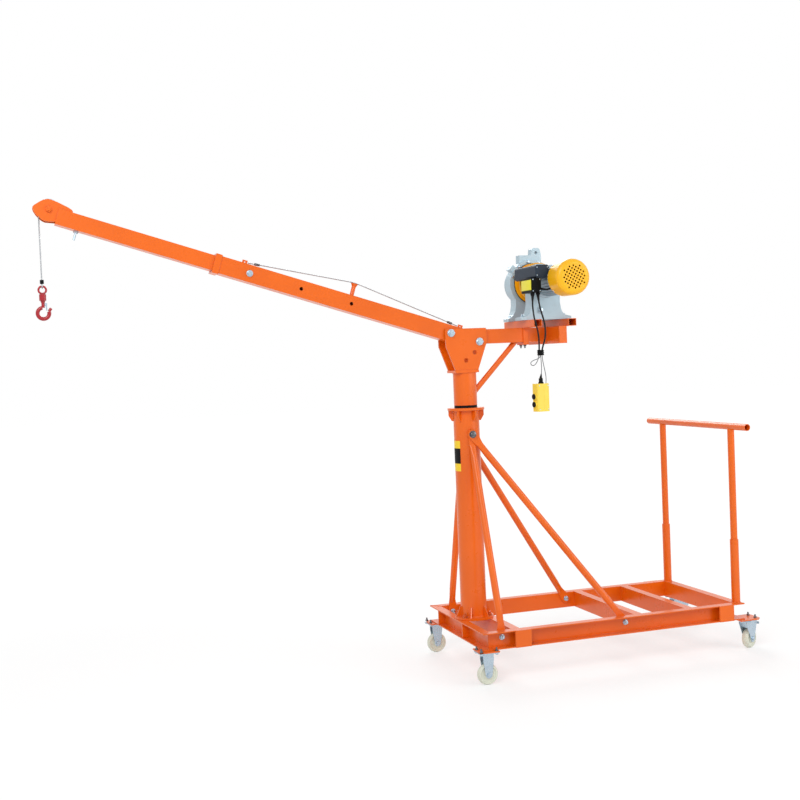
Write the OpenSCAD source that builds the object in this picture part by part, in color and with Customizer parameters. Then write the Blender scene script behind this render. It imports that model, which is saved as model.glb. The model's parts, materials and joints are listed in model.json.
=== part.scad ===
// Portable mini crane: a slewing mast with a telescopic boom and an electric winch on a wheeled base.
// The crane stands on the floor at z = 0, the boom points to -x and the push handle is at +x.

/* [Base frame] */
// Length of the base frame along x
frame_length = 1400; // [1000:10:2000]
// Width of the base frame over its side rails
frame_width = 730; // [560:10:1000]
// Height of the frame's top face above the floor
frame_top = 240; // [220:5:320]
// Height of the frame's steel channel
channel_height = 80; // [60:5:120]
// Width of the channel's flanges
channel_flange = 43; // [35:1:60]
// Thickness of the channel's web and flanges
channel_wall = 5; // [4:0.5:8]
// Distance from the frame's front edge back to the mast axis
mast_setback = 100; // [95:5:200]
// Distance from the mast axis to the first deck beam
deck_beam_1 = 704; // [620:5:900]
// Distance from the mast axis to the second deck beam
deck_beam_2 = 985; // [900:5:1150]
// Width of the flat plates that close the rails near their ends
closing_plate_width = 80; // [60:5:120]
// Thickness of the closing plates and the caster plates
plate_wall = 6; // [4:1:10]
// Depth of the stiffener ribs inside the front beam
rib_depth = 34; // [24:1:44]

/* [Column and braces] */
// Outer diameter of the fixed column
column_d = 127; // [114:1:160]
// Wall of the column
column_wall = 6; // [4:0.5:8]
// Height of the column's top face above the floor
column_top = 1272; // [1000:10:1500]
// Diameter of the bolted base flange
foot_flange_d = 190; // [180:5:260]
// Diameter of the flange at the column's top
head_flange_d = 180; // [170:5:220]
// Thickness of both column flanges
flange_wall = 12; // [8:1:16]
// Outer diameter of the brace tubes
brace_d = 33.7; // [26:0.1:42]
// Thickness of a flattened brace end
brace_tab = 6; // [5:0.5:8]
// Bolt of the braces, below the column's top
brace_drop = 128; // [60:1:300]
// Height of the brace bolts in the rails
brace_foot = 208; // [185:1:215]
// Distance from the mast axis to the rear brace feet
rear_brace_reach = 654; // [500:5:690]

/* [Head and counter beam] */
// Outer diameter of the turning mast
mast_d = 114; // [100:1:130]
// Turning mast's height above the column
mast_rise = 183; // [120:1:300]
// Boom pivot above the mast's top
pivot_rise = 182; // [176:1:260]
// Distance from the mast axis forward to the boom pivot
pivot_reach = 82; // [75:1:100]
// Thickness of the two head cheeks
cheek_wall = 10; // [6:1:14]
// Radius from the pivot to the locking holes
lock_radius = 153; // [145:1:165]
// Angle between two locking holes
lock_step = 22; // [18:1:24]
// Diameter of the pivot and locking pins
pin_d = 20; // [16:1:24]
// Width of the counter beam's square tube
beam_w = 70; // [60:5:90]
// Distance from the mast axis to the counter beam's rear end
beam_reach = 505; // [500:5:620]

/* [Boom] */
// Angle of the resting boom above the horizontal
boom_angle = 17.5; // [14:0.5:20]
// Width of the outer boom tube
outer_w = 80; // [70:5:100]
// Wall of the boom tubes
boom_wall = 4; // [3:0.5:6]
// Diameter of the bolt that holds the inner boom tube
tube_bolt_d = 16; // [12:1:20]
// Distance from the pivot to the end of the outer tube
outer_reach = 1180; // [1100:10:1400]
// Distance from the pivot to the bolt that holds the inner tube
extension_bolt = 1011; // [950:1:1080]
// Distance between two extension holes
extension_step = 250; // [200:1:260]
// Distance from the pivot to the end of the inner tube
inner_reach = 1887; // [1700:1:2100]
// Sheave's axle beyond the inner tube's end
sheave_ahead = 40; // [36:1:60]
// Outer radius of the tip sheave
sheave_r = 48; // [42:1:60]
// Diameter of the sheave's axle bolt
sheave_axle_d = 16; // [12:1:20]
// Height of the strut post on the outer boom
post_height = 60; // [50:1:90]
// Diameter of the hoist rope
rope_d = 6; // [5:0.5:8]
// Diameter of the stay cable
stay_d = 5; // [4:0.5:8]

/* [Winch] */
// Distance from the mast axis to the winch axis
winch_x = 405; // [395:5:440]
// Height of the winch axis above the deck tubes
winch_rise = 186; // [170:1:220]
// Outer diameter of the fan cowl
cowl_d = 170; // [150:2:190]
// Diameter of the drum's end disc
drum_disc_d = 200; // [180:2:216]
// Length of the drum between the castings
drum_w = 64; // [50:2:90]
// Length of the finned motor casing
motor_length = 195; // [160:5:240]
// Length of the fan cowl
cowl_length = 110; // [80:5:130]
// Diameter of the holes in the fan cowl
vent_d = 9; // [5:0.5:10]
// Distance between two holes in the fan cowl
vent_pitch = 14.5; // [12:0.5:17]

/* [Handle] */
// Outer diameter of the handle's lower tubes
socket_d = 42.4; // [38:0.1:43]
// Outer diameter of the handle's posts and bar
grip_d = 34; // [30:0.5:36]
// Height of the handle bar's centre above the floor
bar_height = 1120; // [900:10:1200]
// Length of the handle bar
bar_length = 930; // [760:10:1100]
// Distance between the two handle posts
post_spacing = 648; // [500:2:670]

/* [Casters] */
// Diameter of the wheels
wheel_d = 100; // [80:5:110]
// Width of the wheels
wheel_w = 32; // [26:1:36]
// Distance from a swivel caster's stem to its axle
caster_trail = 35; // [30:1:40]
// Resting angle of the rear left caster
left_swivel = 28; // [0:1:90]
// Resting angle of the rear right caster
right_swivel = 8; // [0:1:90]

/* [Hook] */
// Inner radius of the hook's bowl
hook_r = 16; // [14:1:20]
// Thickness of the hook
hook_wall = 17; // [14:1:20]
// Hook's eye below the sheave's axle
hook_drop = 348; // [200:1:420]

/* [Hidden] */
$fn = 48;
half_w = frame_width / 2;
web_y = half_w - channel_flange;
frame_front = -mast_setback;
frame_rear = frame_length - mast_setback;
frame_bottom = frame_top - channel_height;
orange = [0.93, 0.36, 0.10];
zinc = [0.70, 0.76, 0.84];
cast_grey = [0.66, 0.70, 0.76];
slate = [0.20, 0.24, 0.30];
amber = [0.98, 0.68, 0.05];
hook_red = [0.75, 0.12, 0.14];
rope_grey = [0.62, 0.63, 0.64];
cream = [0.88, 0.87, 0.76];
black = [0.05, 0.05, 0.06];

// gaps
gap = 0.3;
seat = 0.05;
run = 0.075;

// column and head
brace_top = column_top - brace_drop;
mast_top = column_top + mast_rise;
pivot_height = mast_top + pivot_rise;
spigot_d = mast_d - 14;
bearing_h = 11.7;
mast_bottom = column_top + gap + bearing_h;
lug_y = column_d / 2 + 3;
eye_d = 50;
cap_wall = 12;
cheek_in = outer_w / 2 + 5;
cheek_out = cheek_in + cheek_wall;
cheek_top = pivot_height + 20;
back_x = -pivot_reach + lock_radius + 23;
back_wall = 8;
beam_top = pivot_height + 13;
beam_bottom = beam_top - beam_w;
beam_start = back_x + back_wall;

// deck and winch
deck_tube_w = 42;
deck_tube_h = 36;
deck_half = 180;
deck_left = winch_x - 107;
deck_right = winch_x + 77;
deck_top = beam_top + deck_tube_h;
winch_z = deck_top + winch_rise;
foot_half = 135;
drum_near = -14;
drum_far = drum_near + drum_w;
near_end = drum_near - 6;
near_front = near_end - 90;
motor_front = near_front - motor_length;
cowl_front = motor_front - cowl_length;
far_start = drum_far + 6;
motor_r = 75;
drum_shaft_r = 18;

// boom
inner_w = outer_w - 2 * boom_wall - 2;
butt_reach = lock_radius + 16;
inner_tail = extension_bolt - 61;
collar_len = 29;
post_reach = extension_bolt - 2 * extension_step;
stay_anchor = extension_bolt + 29;
stay_butt = -56;
sheave_reach = inner_reach + sheave_ahead;
sheave_rise = 20;
tip_wall = 6;
tip_out = inner_w / 2 - boom_wall;
tip_tail = 101;
rope_ring_r = sheave_r - 5;

foot_tab = web_y - brace_tab / 2 - 0.1;
foot_tube = web_y - brace_d / 2 - 1;
tube_beside = column_d / 2 + brace_d / 2 + 3;

// handle
handle_x = frame_rear - channel_flange / 2;
socket_top = 556;

// casters
front_caster = [frame_front + 21, frame_width / 2 - 20];
rear_caster = [frame_rear + 25, frame_width / 2 - 37];
caster_plate = 4;
stem_top = frame_bottom - plate_wall;
crown_z = stem_top - 10 - gap;
axle_d = 12;
fork_wall = 3;
fork_in = wheel_w / 2 + 2.5;
pedal_x = caster_trail + 30;
pedal_z = crown_z - 20;

// hoist
axle_p = [
    -pivot_reach - sheave_reach * cos(boom_angle) + sheave_rise * sin(boom_angle), 0,
    pivot_height + sheave_reach * sin(boom_angle) + sheave_rise * cos(boom_angle)
];
rope_x = axle_p[0] - rope_ring_r;
rope_drop = sqrt(pow(rope_ring_r + rope_d + gap, 2) - pow(rope_ring_r, 2));
hook_eye_z = axle_p[2] - hook_drop;
hook_c = hook_eye_z - 101.5;
bowl_r = hook_r + hook_wall / 2;
latch_x = 12;
latch_z = hook_c + 39;
latch_pin_d = 3.8;

// placing: the origin is under the middle of the whole crane
tip_x = rope_x - bowl_r - hook_wall / 2;
end_x = rear_caster[0] + (pedal_x + 46) * cos(right_swivel) + 2;
mast_x = -(tip_x + end_x) / 2;

// handset
handset_turn = 8;
handset_h = 132;
button_z = [34, 71];

// Route of the cables that hang from the switch box, from the mast axis
cable_d = 8;
wire_d = 3.5;
left_route = [
    [252, -276, 1794], [251, -277, 1776], [250, -278, 1750], [251, -279, 1724], [254, -279, 1700],
    [259, -279, 1676], [266, -278, 1652], [272, -277, 1628], [276, -276, 1600], [277, -276, 1570],
    [276, -276, 1538]
];
right_route = [
    [280, -278, 1794], [281, -279, 1776], [284, -281, 1750], [289, -284, 1722], [296, -287, 1694],
    [302, -289, 1664], [305, -290, 1634], [304, -290, 1606], [299, -288, 1578], [292, -286, 1556],
    [287, -285, 1538]
];
wire_route = [
    [281, -280, 1512], [282, -280, 1490], [283, -280, 1465], [282, -280, 1435], [276, -282, 1404]
];
side_wire_route = [
    [289, -278, 1512], [291, -278, 1490], [296, -279, 1460], [301, -281, 1430], [303, -283, 1404],
    [301, -284, 1379]
];
loop_route = [
    [274, -286, 1512], [272, -288, 1504], [264, -290, 1498], [252, -292, 1494], [238, -293, 1490],
    [227, -293, 1484], [223, -291, 1476], [229, -288, 1468], [241, -284, 1466], [253, -280, 1472],
    [263, -276, 1483], [270, -274, 1496], [273, -273, 1512]
];

// ---------- shared shapes ----------

module on_mast() {
    translate([mast_x, 0, 0]) children();
}

function unit(v) = v / norm(v);

// A round bar from point p to point q
module rod(p, q, d) {
    v = q - p;
    translate(p) rotate([0, acos(v[2] / norm(v)), atan2(v[1], v[0])]) cylinder(h = norm(v), d = d);
}

// A round tube from point p to point q
module pipe(p, q, d, wall) {
    v = q - p;
    translate(p) rotate([0, acos(v[2] / norm(v)), atan2(v[1], v[0])]) difference() {
        cylinder(h = norm(v), d = d);
        translate([0, 0, -1]) cylinder(h = norm(v) + 2, d = d - 2 * wall);
    }
}

// A cylinder along y, centred on its length
module cross_pin(x, z, d, length) {
    translate([x, 0, z]) rotate([90, 0, 0]) cylinder(h = length, d = d, center = true);
}

// A bolt head or nut with six sides along y, from |y| = y0 outwards on one side
module hex_end(x, z, y0, size, height, side) {
    translate([x, side * (y0 + height / 2), z]) rotate([90, 0, 0])
        cylinder(h = height, d = size, center = true, $fn = 6);
}

// Steel channel along x, web at y = 0, flanges towards +y, top face at z = 0
module channel_bar(length) {
    rotate([90, 0, 90]) linear_extrude(length) difference() {
        translate([0, -channel_height]) square([channel_flange, channel_height]);
        translate([channel_wall, channel_wall - channel_height])
            square([channel_flange, channel_height - 2 * channel_wall]);
    }
}

// A square tube along x from x0 to x1
module square_tube(x0, x1, w, wall) {
    difference() {
        translate([x0, -w / 2, -w / 2]) cube([x1 - x0, w, w]);
        translate([x0 - 1, wall - w / 2, wall - w / 2])
            cube([x1 - x0 + 2, w - 2 * wall, w - 2 * wall]);
    }
}

// A round cord with eight sides along a list of points
function tangent(r, i) = unit(r[min(i + 1, len(r) - 1)] - r[max(i - 1, 0)]);
module swept_cord(route, d) {
    n = 8;
    last = len(route) - 1;
    rings = [
        for (i = [0 : last])
            let (
                t = i == 0 || i == last ? [0, 0, route[i][2] > route[i == 0 ? 1 : i - 1][2] ? 1 : -1]
                    : tangent(route, i),
                u = i == 0 ? -t : t,
                w = i == 0 ? [0, 0, -sign(route[0][2] - route[1][2])] : t,
                a = unit(cross(w, [0, 1, 0])),
                b = cross(w, a)
            )
            for (k = [0 : n - 1]) route[i] + d / 2 * (cos(360 * k / n) * a + sin(360 * k / n) * b)
    ];
    faces = concat(
        [[for (k = [0 : n - 1]) k]],
        [for (i = [0 : last - 1]) for (k = [0 : n - 1])
            [i * n + k, (i + 1) * n + k, (i + 1) * n + (k + 1) % n]],
        [for (i = [0 : last - 1]) for (k = [0 : n - 1])
            [i * n + k, (i + 1) * n + (k + 1) % n, i * n + (k + 1) % n]],
        [[for (k = [n - 1 : -1 : 0]) last * n + k]]
    );
    polyhedron(points = rings, faces = faces);
}

// ---------- base ----------

module side_rails() {
    color(orange) on_mast() for (side = [0, 1]) mirror([0, side, 0]) intersection() {
        translate([frame_front, web_y, frame_top]) channel_bar(frame_length);
        translate([0, 0, frame_bottom]) linear_extrude(channel_height) polygon([
            [frame_front, half_w], [frame_rear, half_w],
            [frame_rear - channel_flange, web_y], [frame_front + channel_flange, web_y]
        ]);
    }
}

// End beams with mitred ends; their open sides face outwards
module end_beams() {
    color(orange) on_mast() for (x = [0, frame_rear + frame_front])
        translate([x, 0, 0]) mirror([x == 0 ? 0 : 1, 0, 0]) intersection() {
            translate([frame_front + channel_flange, -half_w, frame_top])
                rotate([0, 0, 90]) channel_bar(frame_width);
            translate([frame_front, 0, frame_bottom]) linear_extrude(channel_height) polygon([
                [0, -half_w], [channel_flange, -web_y], [channel_flange, web_y], [0, half_w]
            ]);
        }
}

// Three inner beams between the rails: one under the column and two for the deck
module cross_beams() {
    mast_beam = mast_setback - channel_flange;
    color(orange) on_mast() for (x = [mast_beam, deck_beam_1, deck_beam_2])
        translate([x, web_y, frame_top]) rotate([0, 0, -90]) channel_bar(2 * web_y);
}

// Flat plates over the rails' open sides, and two stiffeners inside the front beam
module closing_plates() {
    color(orange) on_mast() {
        for (side = [-1, 1]) for (x = [frame_front + 160, frame_rear - 145])
            translate([x, side < 0 ? -half_w - plate_wall : half_w, frame_bottom])
                cube([closing_plate_width, plate_wall, channel_height]);
        for (y = [-85, 335 - 2 * channel_flange])
            translate([frame_front + channel_flange - channel_wall - rib_depth, y,
                frame_bottom + channel_wall])
                cube([rib_depth, plate_wall, channel_height - 2 * channel_wall]);
    }
}

// Plates under the frame's corners, chamfered at their outer corner
module caster_plates() {
    color(orange) on_mast() for (side = [0, 1]) mirror([0, side, 0]) {
        translate([front_caster[0], -front_caster[1], stem_top]) linear_extrude(plate_wall)
            polygon([[-45, 60], [50, 60], [50, -42], [-20, -42], [-45, -17]]);
        translate([rear_caster[0], -rear_caster[1], stem_top]) linear_extrude(plate_wall)
            polygon([[-60, 55], [60, 55], [60, -37], [40, -57], [-60, -57]]);
    }
}

// ---------- column ----------

// Column tube with a round lug on each side for the brace bolts
module column_tube() {
    color(orange) on_mast() difference() {
        union() {
            translate([0, 0, frame_top + flange_wall])
                cylinder(h = column_top - 2 * flange_wall - frame_top, d = column_d);
            cross_pin(0, brace_top, 44, 2 * lug_y);
        }
        translate([0, 0, frame_top]) cylinder(h = column_top, d = column_d - 2 * column_wall);
    }
}

// Base flange with six ribs
module column_foot() {
    rib_h = 48;
    color(orange) on_mast() {
        translate([0, 0, frame_top]) cylinder(h = flange_wall, d = foot_flange_d);
        for (a = [0 : 60 : 300]) rotate([0, 0, a])
            translate([column_d / 2 + gap, 3, frame_top + flange_wall]) rotate([90, 0, 0])
                linear_extrude(6) polygon([
                    [0, 0], [(foot_flange_d - column_d) / 2 - 4, 0], [6, rib_h], [0, rib_h]
                ]);
    }
}

// Top flange with six gussets under it
module column_head() {
    gusset_h = 52;
    gusset_w = (head_flange_d - column_d) / 2 - 4;
    color(orange) on_mast() {
        difference() {
            translate([0, 0, column_top - flange_wall]) cylinder(h = flange_wall, d = head_flange_d);
            translate([0, 0, column_top - 20]) cylinder(h = 30, d = spigot_d + 2);
        }
        for (a = [42 : 60 : 342]) rotate([0, 0, a])
            translate([column_d / 2 + gap, 4, column_top - flange_wall]) rotate([90, 0, 0])
                linear_extrude(8) polygon([
                    [0, 0], [0, -gusset_h], [7, -gusset_h], [gusset_w, -26], [gusset_w, 0]
                ]);
    }
}

// Brace of round tube with two flattened ends, bolted along y.
// y_top and y_foot are the flat ends' middle planes; the tube's own ends lie beside them.
module brace(reach, y_top, tube_top, y_foot, tube_foot) {
    p = [reach[0], y_top, brace_top];
    q = [reach[1], y_foot, brace_foot];
    v = unit([q[0] - p[0], 0, q[2] - p[2]]);
    flat = 60;
    neck = 116;
    tab_w = 32;
    a = [p[0], tube_top, p[2]] + neck * v;
    b = [q[0], tube_foot, q[2]] - neck * v;
    w = unit(b - a);
    rod(a, b, brace_d);
    for (e = [[p, 1, a], [q, -1, b]]) {
        hull() {
            translate(e[0]) rotate([90, 0, 0])
                cylinder(h = brace_tab, d = eye_d, center = true, $fn = 32);
            translate(e[0] + e[1] * flat * v) rotate([90, 0, 0])
                cylinder(h = brace_tab, d = tab_w, center = true, $fn = 32);
        }
        hull() {
            translate(e[0] + e[1] * (flat - 2) * v) rotate([90, 0, 0])
                cylinder(h = brace_tab - 0.6, d = tab_w - 1, center = true, $fn = 28);
            rod(e[2] + e[1] * w, e[2] + e[1] * 6 * w, brace_d - 0.8, $fn = 32);
        }
    }
}

// The side brace lies against the column's lug and the rear brace lies outside it
module side_brace() {
    on_mast() brace([0, 8], -lug_y - brace_tab / 2 - 0.1, -tube_beside, -foot_tab, -foot_tube);
}

module rear_brace() {
    on_mast() brace([0, rear_brace_reach], -lug_y - 1.5 * brace_tab - 0.3, -tube_beside,
        -foot_tab, -foot_tube);
}

module left_side_brace() { color(orange) side_brace(); }
module right_side_brace() { color(orange) mirror([0, 1, 0]) side_brace(); }
module left_rear_brace() { color(orange) rear_brace(); }
module right_rear_brace() { color(orange) mirror([0, 1, 0]) rear_brace(); }

// ---------- handle ----------

module handle_sockets() {
    color(orange) on_mast() for (side = [-1, 1])
        pipe([handle_x, side * post_spacing / 2, frame_top],
            [handle_x, side * post_spacing / 2, socket_top], socket_d, (socket_d - grip_d) / 2 - 0.1);
}

// Posts inside the sockets, cut at the top to fit the bar
module handle_posts() {
    color(orange) on_mast() difference() {
        for (side = [-1, 1])
            pipe([handle_x, side * post_spacing / 2, frame_top + 60],
                [handle_x, side * post_spacing / 2, bar_height], grip_d, 3);
        cross_pin(handle_x, bar_height, grip_d + 0.2, bar_length);
    }
}

module handle_bar() {
    color(orange) on_mast() pipe([handle_x, -bar_length / 2, bar_height],
        [handle_x, bar_length / 2, bar_height], grip_d, 3);
}

// ---------- casters ----------

module axle(axle_x) {
    cross_pin(axle_x, wheel_d / 2, axle_d, 2 * (fork_in + fork_wall) + 6);
    for (side = [-1, 1]) hex_end(axle_x, wheel_d / 2, fork_in + fork_wall, 20, 6, side);
}

// Rigid casters: a top plate, two legs and the axle
module front_forks() {
    top = stem_top - caster_plate;
    color(zinc) on_mast() for (side = [-1, 1])
        translate([front_caster[0], side * front_caster[1], 0]) {
            translate([-48, -40, top]) cube([96, 80, caster_plate]);
            for (leg = [-1, 1]) translate([0, leg * (fork_in + fork_wall / 2), 0]) rotate([90, 0, 0])
                linear_extrude(fork_wall, center = true) {
                    translate([0, wheel_d / 2]) circle(d = 34);
                    polygon([
                        [-17, wheel_d / 2], [17, wheel_d / 2], [26, top - 32], [26, top],
                        [-26, top], [-26, top - 32]
                    ]);
                }
            axle(0);
        }
}

// Wheel with a rounded tread, a recessed side and a thick hub
module caster_wheel() {
    r = wheel_d / 2;
    half = wheel_w / 2;
    rotate([90, 0, 0]) rotate_extrude() polygon(concat(
        [[axle_d / 2 + run, -half - 1.5], [15, -half - 1.5], [18, -half + 4], [r - 15, -half + 4],
         [r - 12, -half], [r - 6, -half]],
        [for (a = [-60 : 20 : 60]) [r - 8 + 8 * cos(a), (half - 4) * sin(a) / sin(60)]],
        [[r - 6, half], [r - 12, half], [r - 15, half - 4], [18, half - 4], [15, half + 1.5],
         [axle_d / 2 + run, half + 1.5]]
    ));
}

module front_left_wheel() {
    color(cream) on_mast() translate([front_caster[0], -front_caster[1], wheel_d / 2]) caster_wheel();
}

module front_right_wheel() {
    color(cream) on_mast() translate([front_caster[0], front_caster[1], wheel_d / 2]) caster_wheel();
}

// Top plates of the swivel casters, each with its raceway and king pin
module rear_swivel_plates() {
    color(zinc) on_mast() for (side = [-1, 1])
        translate([rear_caster[0], side * rear_caster[1], 0]) {
            translate([-48, -40, stem_top - caster_plate]) cube([96, 80, caster_plate]);
            translate([0, 0, stem_top - 10]) cylinder(h = 10 - caster_plate, d = 58);
            translate([0, 0, stem_top - 24]) cylinder(h = 14, d = axle_d);
        }
}

// Swivel fork with its crown, legs and axle; the wheel trails towards +x
module swivel_fork() {
    difference() {
        union() {
            translate([0, 0, crown_z - 8]) cylinder(h = 8, d = 62);
            translate([-8, -fork_in, crown_z - 8]) cube([58, 2 * fork_in, 4]);
        }
        translate([0, 0, crown_z - 20]) cylinder(h = 30, d = axle_d + 2 * run);
    }
    for (side = [-1, 1]) translate([0, side * (fork_in + fork_wall / 2), 0]) rotate([90, 0, 0])
        linear_extrude(fork_wall, center = true) {
            translate([caster_trail, wheel_d / 2]) circle(d = 38);
            polygon([
                [caster_trail - 19, wheel_d / 2], [caster_trail + 19, wheel_d / 2],
                [pedal_x + 10, pedal_z - 12], [pedal_x + 12, pedal_z + 8],
                [caster_trail + 16, crown_z - 4], [-24, crown_z - 4], [-26, crown_z - 12]
            ]);
        }
    axle(caster_trail);
    cross_pin(pedal_x, pedal_z, 6, 2 * (fork_in + fork_wall) + 4);
}

module rear_left(rise = 0) {
    on_mast() translate([rear_caster[0], -rear_caster[1], rise]) rotate([0, 0, left_swivel]) children();
}

module rear_right(rise = 0) {
    on_mast() translate([rear_caster[0], rear_caster[1], rise]) rotate([0, 0, right_swivel]) children();
}

module rear_left_fork() { color(zinc) rear_left() swivel_fork(); }
module rear_right_fork() { color(zinc) rear_right() swivel_fork(); }

module rear_left_wheel() {
    color(cream) rear_left(wheel_d / 2) translate([caster_trail, 0, 0]) caster_wheel();
}

module rear_right_wheel() {
    color(cream) rear_right(wheel_d / 2) translate([caster_trail, 0, 0]) caster_wheel();
}

// Foot pedal of the wheel brake, turning on its own cross pin
module brake_pedal() {
    width = 2 * fork_in - 1;
    difference() {
        union() {
            cross_pin(pedal_x, pedal_z, 13, width);
            translate([pedal_x, -width / 2, pedal_z]) rotate([0, 12, 0]) translate([3, 0, 1])
                cube([44, width, 4]);
            translate([pedal_x, -width / 2, pedal_z]) rotate([0, 12, 0]) translate([43, 0, -6])
                cube([4, width, 8]);
        }
        cross_pin(pedal_x, pedal_z, 6 + 2 * run, width + 2);
    }
}

module rear_left_pedal() { color(zinc) rear_left() brake_pedal(); }
module rear_right_pedal() { color(zinc) rear_right() brake_pedal(); }

// ---------- mast and head ----------

module slew_collar() {
    color(black) on_mast() difference() {
        translate([0, 0, column_top + gap]) cylinder(h = bearing_h, d = mast_d - 2);
        translate([0, 0, column_top]) cylinder(h = bearing_h + 2, d = spigot_d + 2 * seat);
    }
}

// Turning mast: its spigot runs inside the column, with a guide ring at the bottom
module mast_tube() {
    spigot_len = 320;
    ring_d = column_d - 2 * column_wall - 2 * gap;
    color(orange) on_mast() difference() {
        union() {
            translate([0, 0, mast_bottom]) cylinder(h = mast_top - cap_wall - mast_bottom, d = mast_d);
            translate([0, 0, mast_bottom - spigot_len]) cylinder(h = spigot_len, d = spigot_d);
            translate([0, 0, mast_bottom - spigot_len]) cylinder(h = 24, d = ring_d);
        }
        translate([0, 0, mast_bottom - spigot_len - 1]) cylinder(h = mast_top, d = spigot_d - 12);
    }
}

module cheek_outline() {
    polygon([
        [-66, mast_top], [52, mast_top], [back_x + 9, pivot_height - 45],
        [back_x + back_wall, pivot_height], [back_x + back_wall, cheek_top - 6],
        [back_x + 2, cheek_top], [-pivot_reach - 24, cheek_top],
        [-pivot_reach - 30, cheek_top - 8], [-pivot_reach - 28, pivot_height - 66]
    ]);
}

function lock_point(k) = let (a = boom_angle + k * lock_step)
    [-pivot_reach + lock_radius * cos(a), pivot_height - lock_radius * sin(a)];

// Cap plate, two cheeks with pivot bores and locking holes, and the plate behind the boom's butt
module head_cheeks() {
    color(orange) on_mast() {
        translate([-68, -cheek_out - 2, mast_top - cap_wall]) cube([122, 2 * cheek_out + 4, cap_wall]);
        difference() {
            for (side = [-1, 1]) translate([0, side * (cheek_in + cheek_wall / 2), 0])
                rotate([90, 0, 0]) linear_extrude(cheek_wall, center = true) cheek_outline();
            cross_pin(-pivot_reach, pivot_height, pin_d + 2 * seat, 3 * outer_w);
            cross_pin(lock_point(0)[0], lock_point(0)[1], pin_d + 2 * seat, 3 * outer_w);
            for (k = [1, 2]) cross_pin(lock_point(k)[0], lock_point(k)[1], pin_d + 1, 3 * outer_w);
        }
        translate([back_x, -cheek_in, beam_bottom]) cube([back_wall, 2 * cheek_in, beam_w]);
    }
}

// Pivot bolt right through the boom
module boom_pivot_bolt() {
    color(zinc) on_mast() {
        cross_pin(-pivot_reach, pivot_height, pin_d, 2 * cheek_out + 30);
        for (side = [-1, 1]) hex_end(-pivot_reach, pivot_height, cheek_out, 34, 12, side);
    }
}

// The locking bolt's two ends in the first hole of each cheek
module luff_lock_bolt() {
    color(zinc) on_mast() for (side = [-1, 1]) {
        translate([lock_point(0)[0], side * (cheek_in + cheek_wall / 2 + 7), lock_point(0)[1]])
            rotate([90, 0, 0]) cylinder(h = cheek_wall + 14, d = pin_d, center = true);
        hex_end(lock_point(0)[0], lock_point(0)[1], cheek_out, 34, 12, side);
    }
}

module counter_beam() {
    color(orange) on_mast() difference() {
        translate([beam_start, -beam_w / 2, beam_bottom]) cube([beam_reach - beam_start, beam_w, beam_w]);
        translate([beam_start - 1, 4 - beam_w / 2, beam_bottom + 4])
            cube([beam_reach - beam_start - 3, beam_w - 8, beam_w - 8]);
    }
}

// Diagonal tube from the mast to the beam
module beam_strut() {
    color(orange) on_mast() difference() {
        rod([35, 0, mast_bottom + 50], [deck_left - 2, 0, beam_bottom + 27], 27);
        translate([0, 0, mast_bottom]) cylinder(h = 300, d = mast_d + 0.2);
        translate([0, -60, beam_bottom - 0.1]) cube([600, 120, 120]);
    }
}

// Two cross tubes that carry the winch, two stubs beside the beam and the strap around it
module winch_deck() {
    color(orange) on_mast() {
        for (x = [deck_left, deck_right]) difference() {
            translate([x, -deck_half, beam_top]) cube([deck_tube_w, 2 * deck_half, deck_tube_h]);
            translate([x + 3, -deck_half - 1, beam_top + 3])
                cube([deck_tube_w - 6, 2 * deck_half + 2, deck_tube_h - 6]);
        }
        for (side = [-1, 1])
            translate([winch_x + 25, side < 0 ? -deck_half : beam_w / 2, beam_top - 83])
                cube([41, deck_half - beam_w / 2, 83]);
        difference() {
            translate([deck_left + 5, -beam_w / 2 - 6, beam_bottom - 13]) cube([27, beam_w + 12, beam_w + 13]);
            translate([deck_left, -beam_w / 2, beam_bottom]) cube([40, beam_w, beam_w + 1]);
        }
    }
}

// ---------- winch ----------

module on_winch() {
    on_mast() translate([winch_x, 0, winch_z]) children();
}

// Turned shape about the winch axis; a profile's second number runs along y
module turned() {
    rotate([-90, 0, 0]) rotate_extrude() children();
}

// Flared foot of a casting, from y0 to y1
module cast_foot(y0, y1, waist) {
    translate([0, y1, 0]) rotate([90, 0, 0]) linear_extrude(y1 - y0) polygon([
        for (side = [1, -1]) let (flare = [
            [foot_half, -winch_rise], [foot_half, 14 - winch_rise], [waist + 26, 22 - winch_rise],
            [waist + 13, 34 - winch_rise], [waist + 5, 52 - winch_rise], [waist, 80 - winch_rise],
            [waist, -50]
        ]) for (k = [0 : 6]) let (q = side > 0 ? flare[k] : flare[6 - k]) [side * q[0], q[1]]
    ]);
}

// Bell casting between the motor and the drum
module motor_bell() {
    color(cast_grey) on_winch() {
        turned() polygon([
            [0, near_front], [70, near_front], [78, near_front + 4], [84, near_front + 30],
            [88, near_end - 24], [92, near_end - 20], [92, near_end], [0, near_end]
        ]);
        cast_foot(near_front + 14, near_end - 3, 76);
    }
}

// Gear case behind the drum, with its flared foot and the lifting lug on top
module gear_case() {
    ring = 120;
    color(cast_grey) on_winch() {
        turned() polygon([
            [0, far_start], [ring, far_start], [ring, far_start + 60], [112, far_start + 70],
            [98, far_start + 78], [96, far_start + 130], [80, far_start + 144], [0, far_start + 144]
        ]);
        turned() polygon([
            [0, drum_near + 8.5], [drum_shaft_r, drum_near + 8.5], [drum_shaft_r, far_start + 5],
            [0, far_start + 5]
        ]);
        cast_foot(far_start + 2, far_start + 66, 92);
        translate([0, far_start + 50, ring - 6]) rotate([90, 0, 0]) linear_extrude(40) difference() {
            polygon([
                [-62, -16], [58, -16], [58, 34], [52, 60], [44, 66], [16, 66], [8, 60],
                [4, 30], [-62, 30]
            ]);
            translate([31, 42]) circle(d = 16);
        }
        rotate([0, -52, 0]) translate([-15, far_start + 4, ring - 12]) cube([30, 46, 30]);
    }
}

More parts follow.
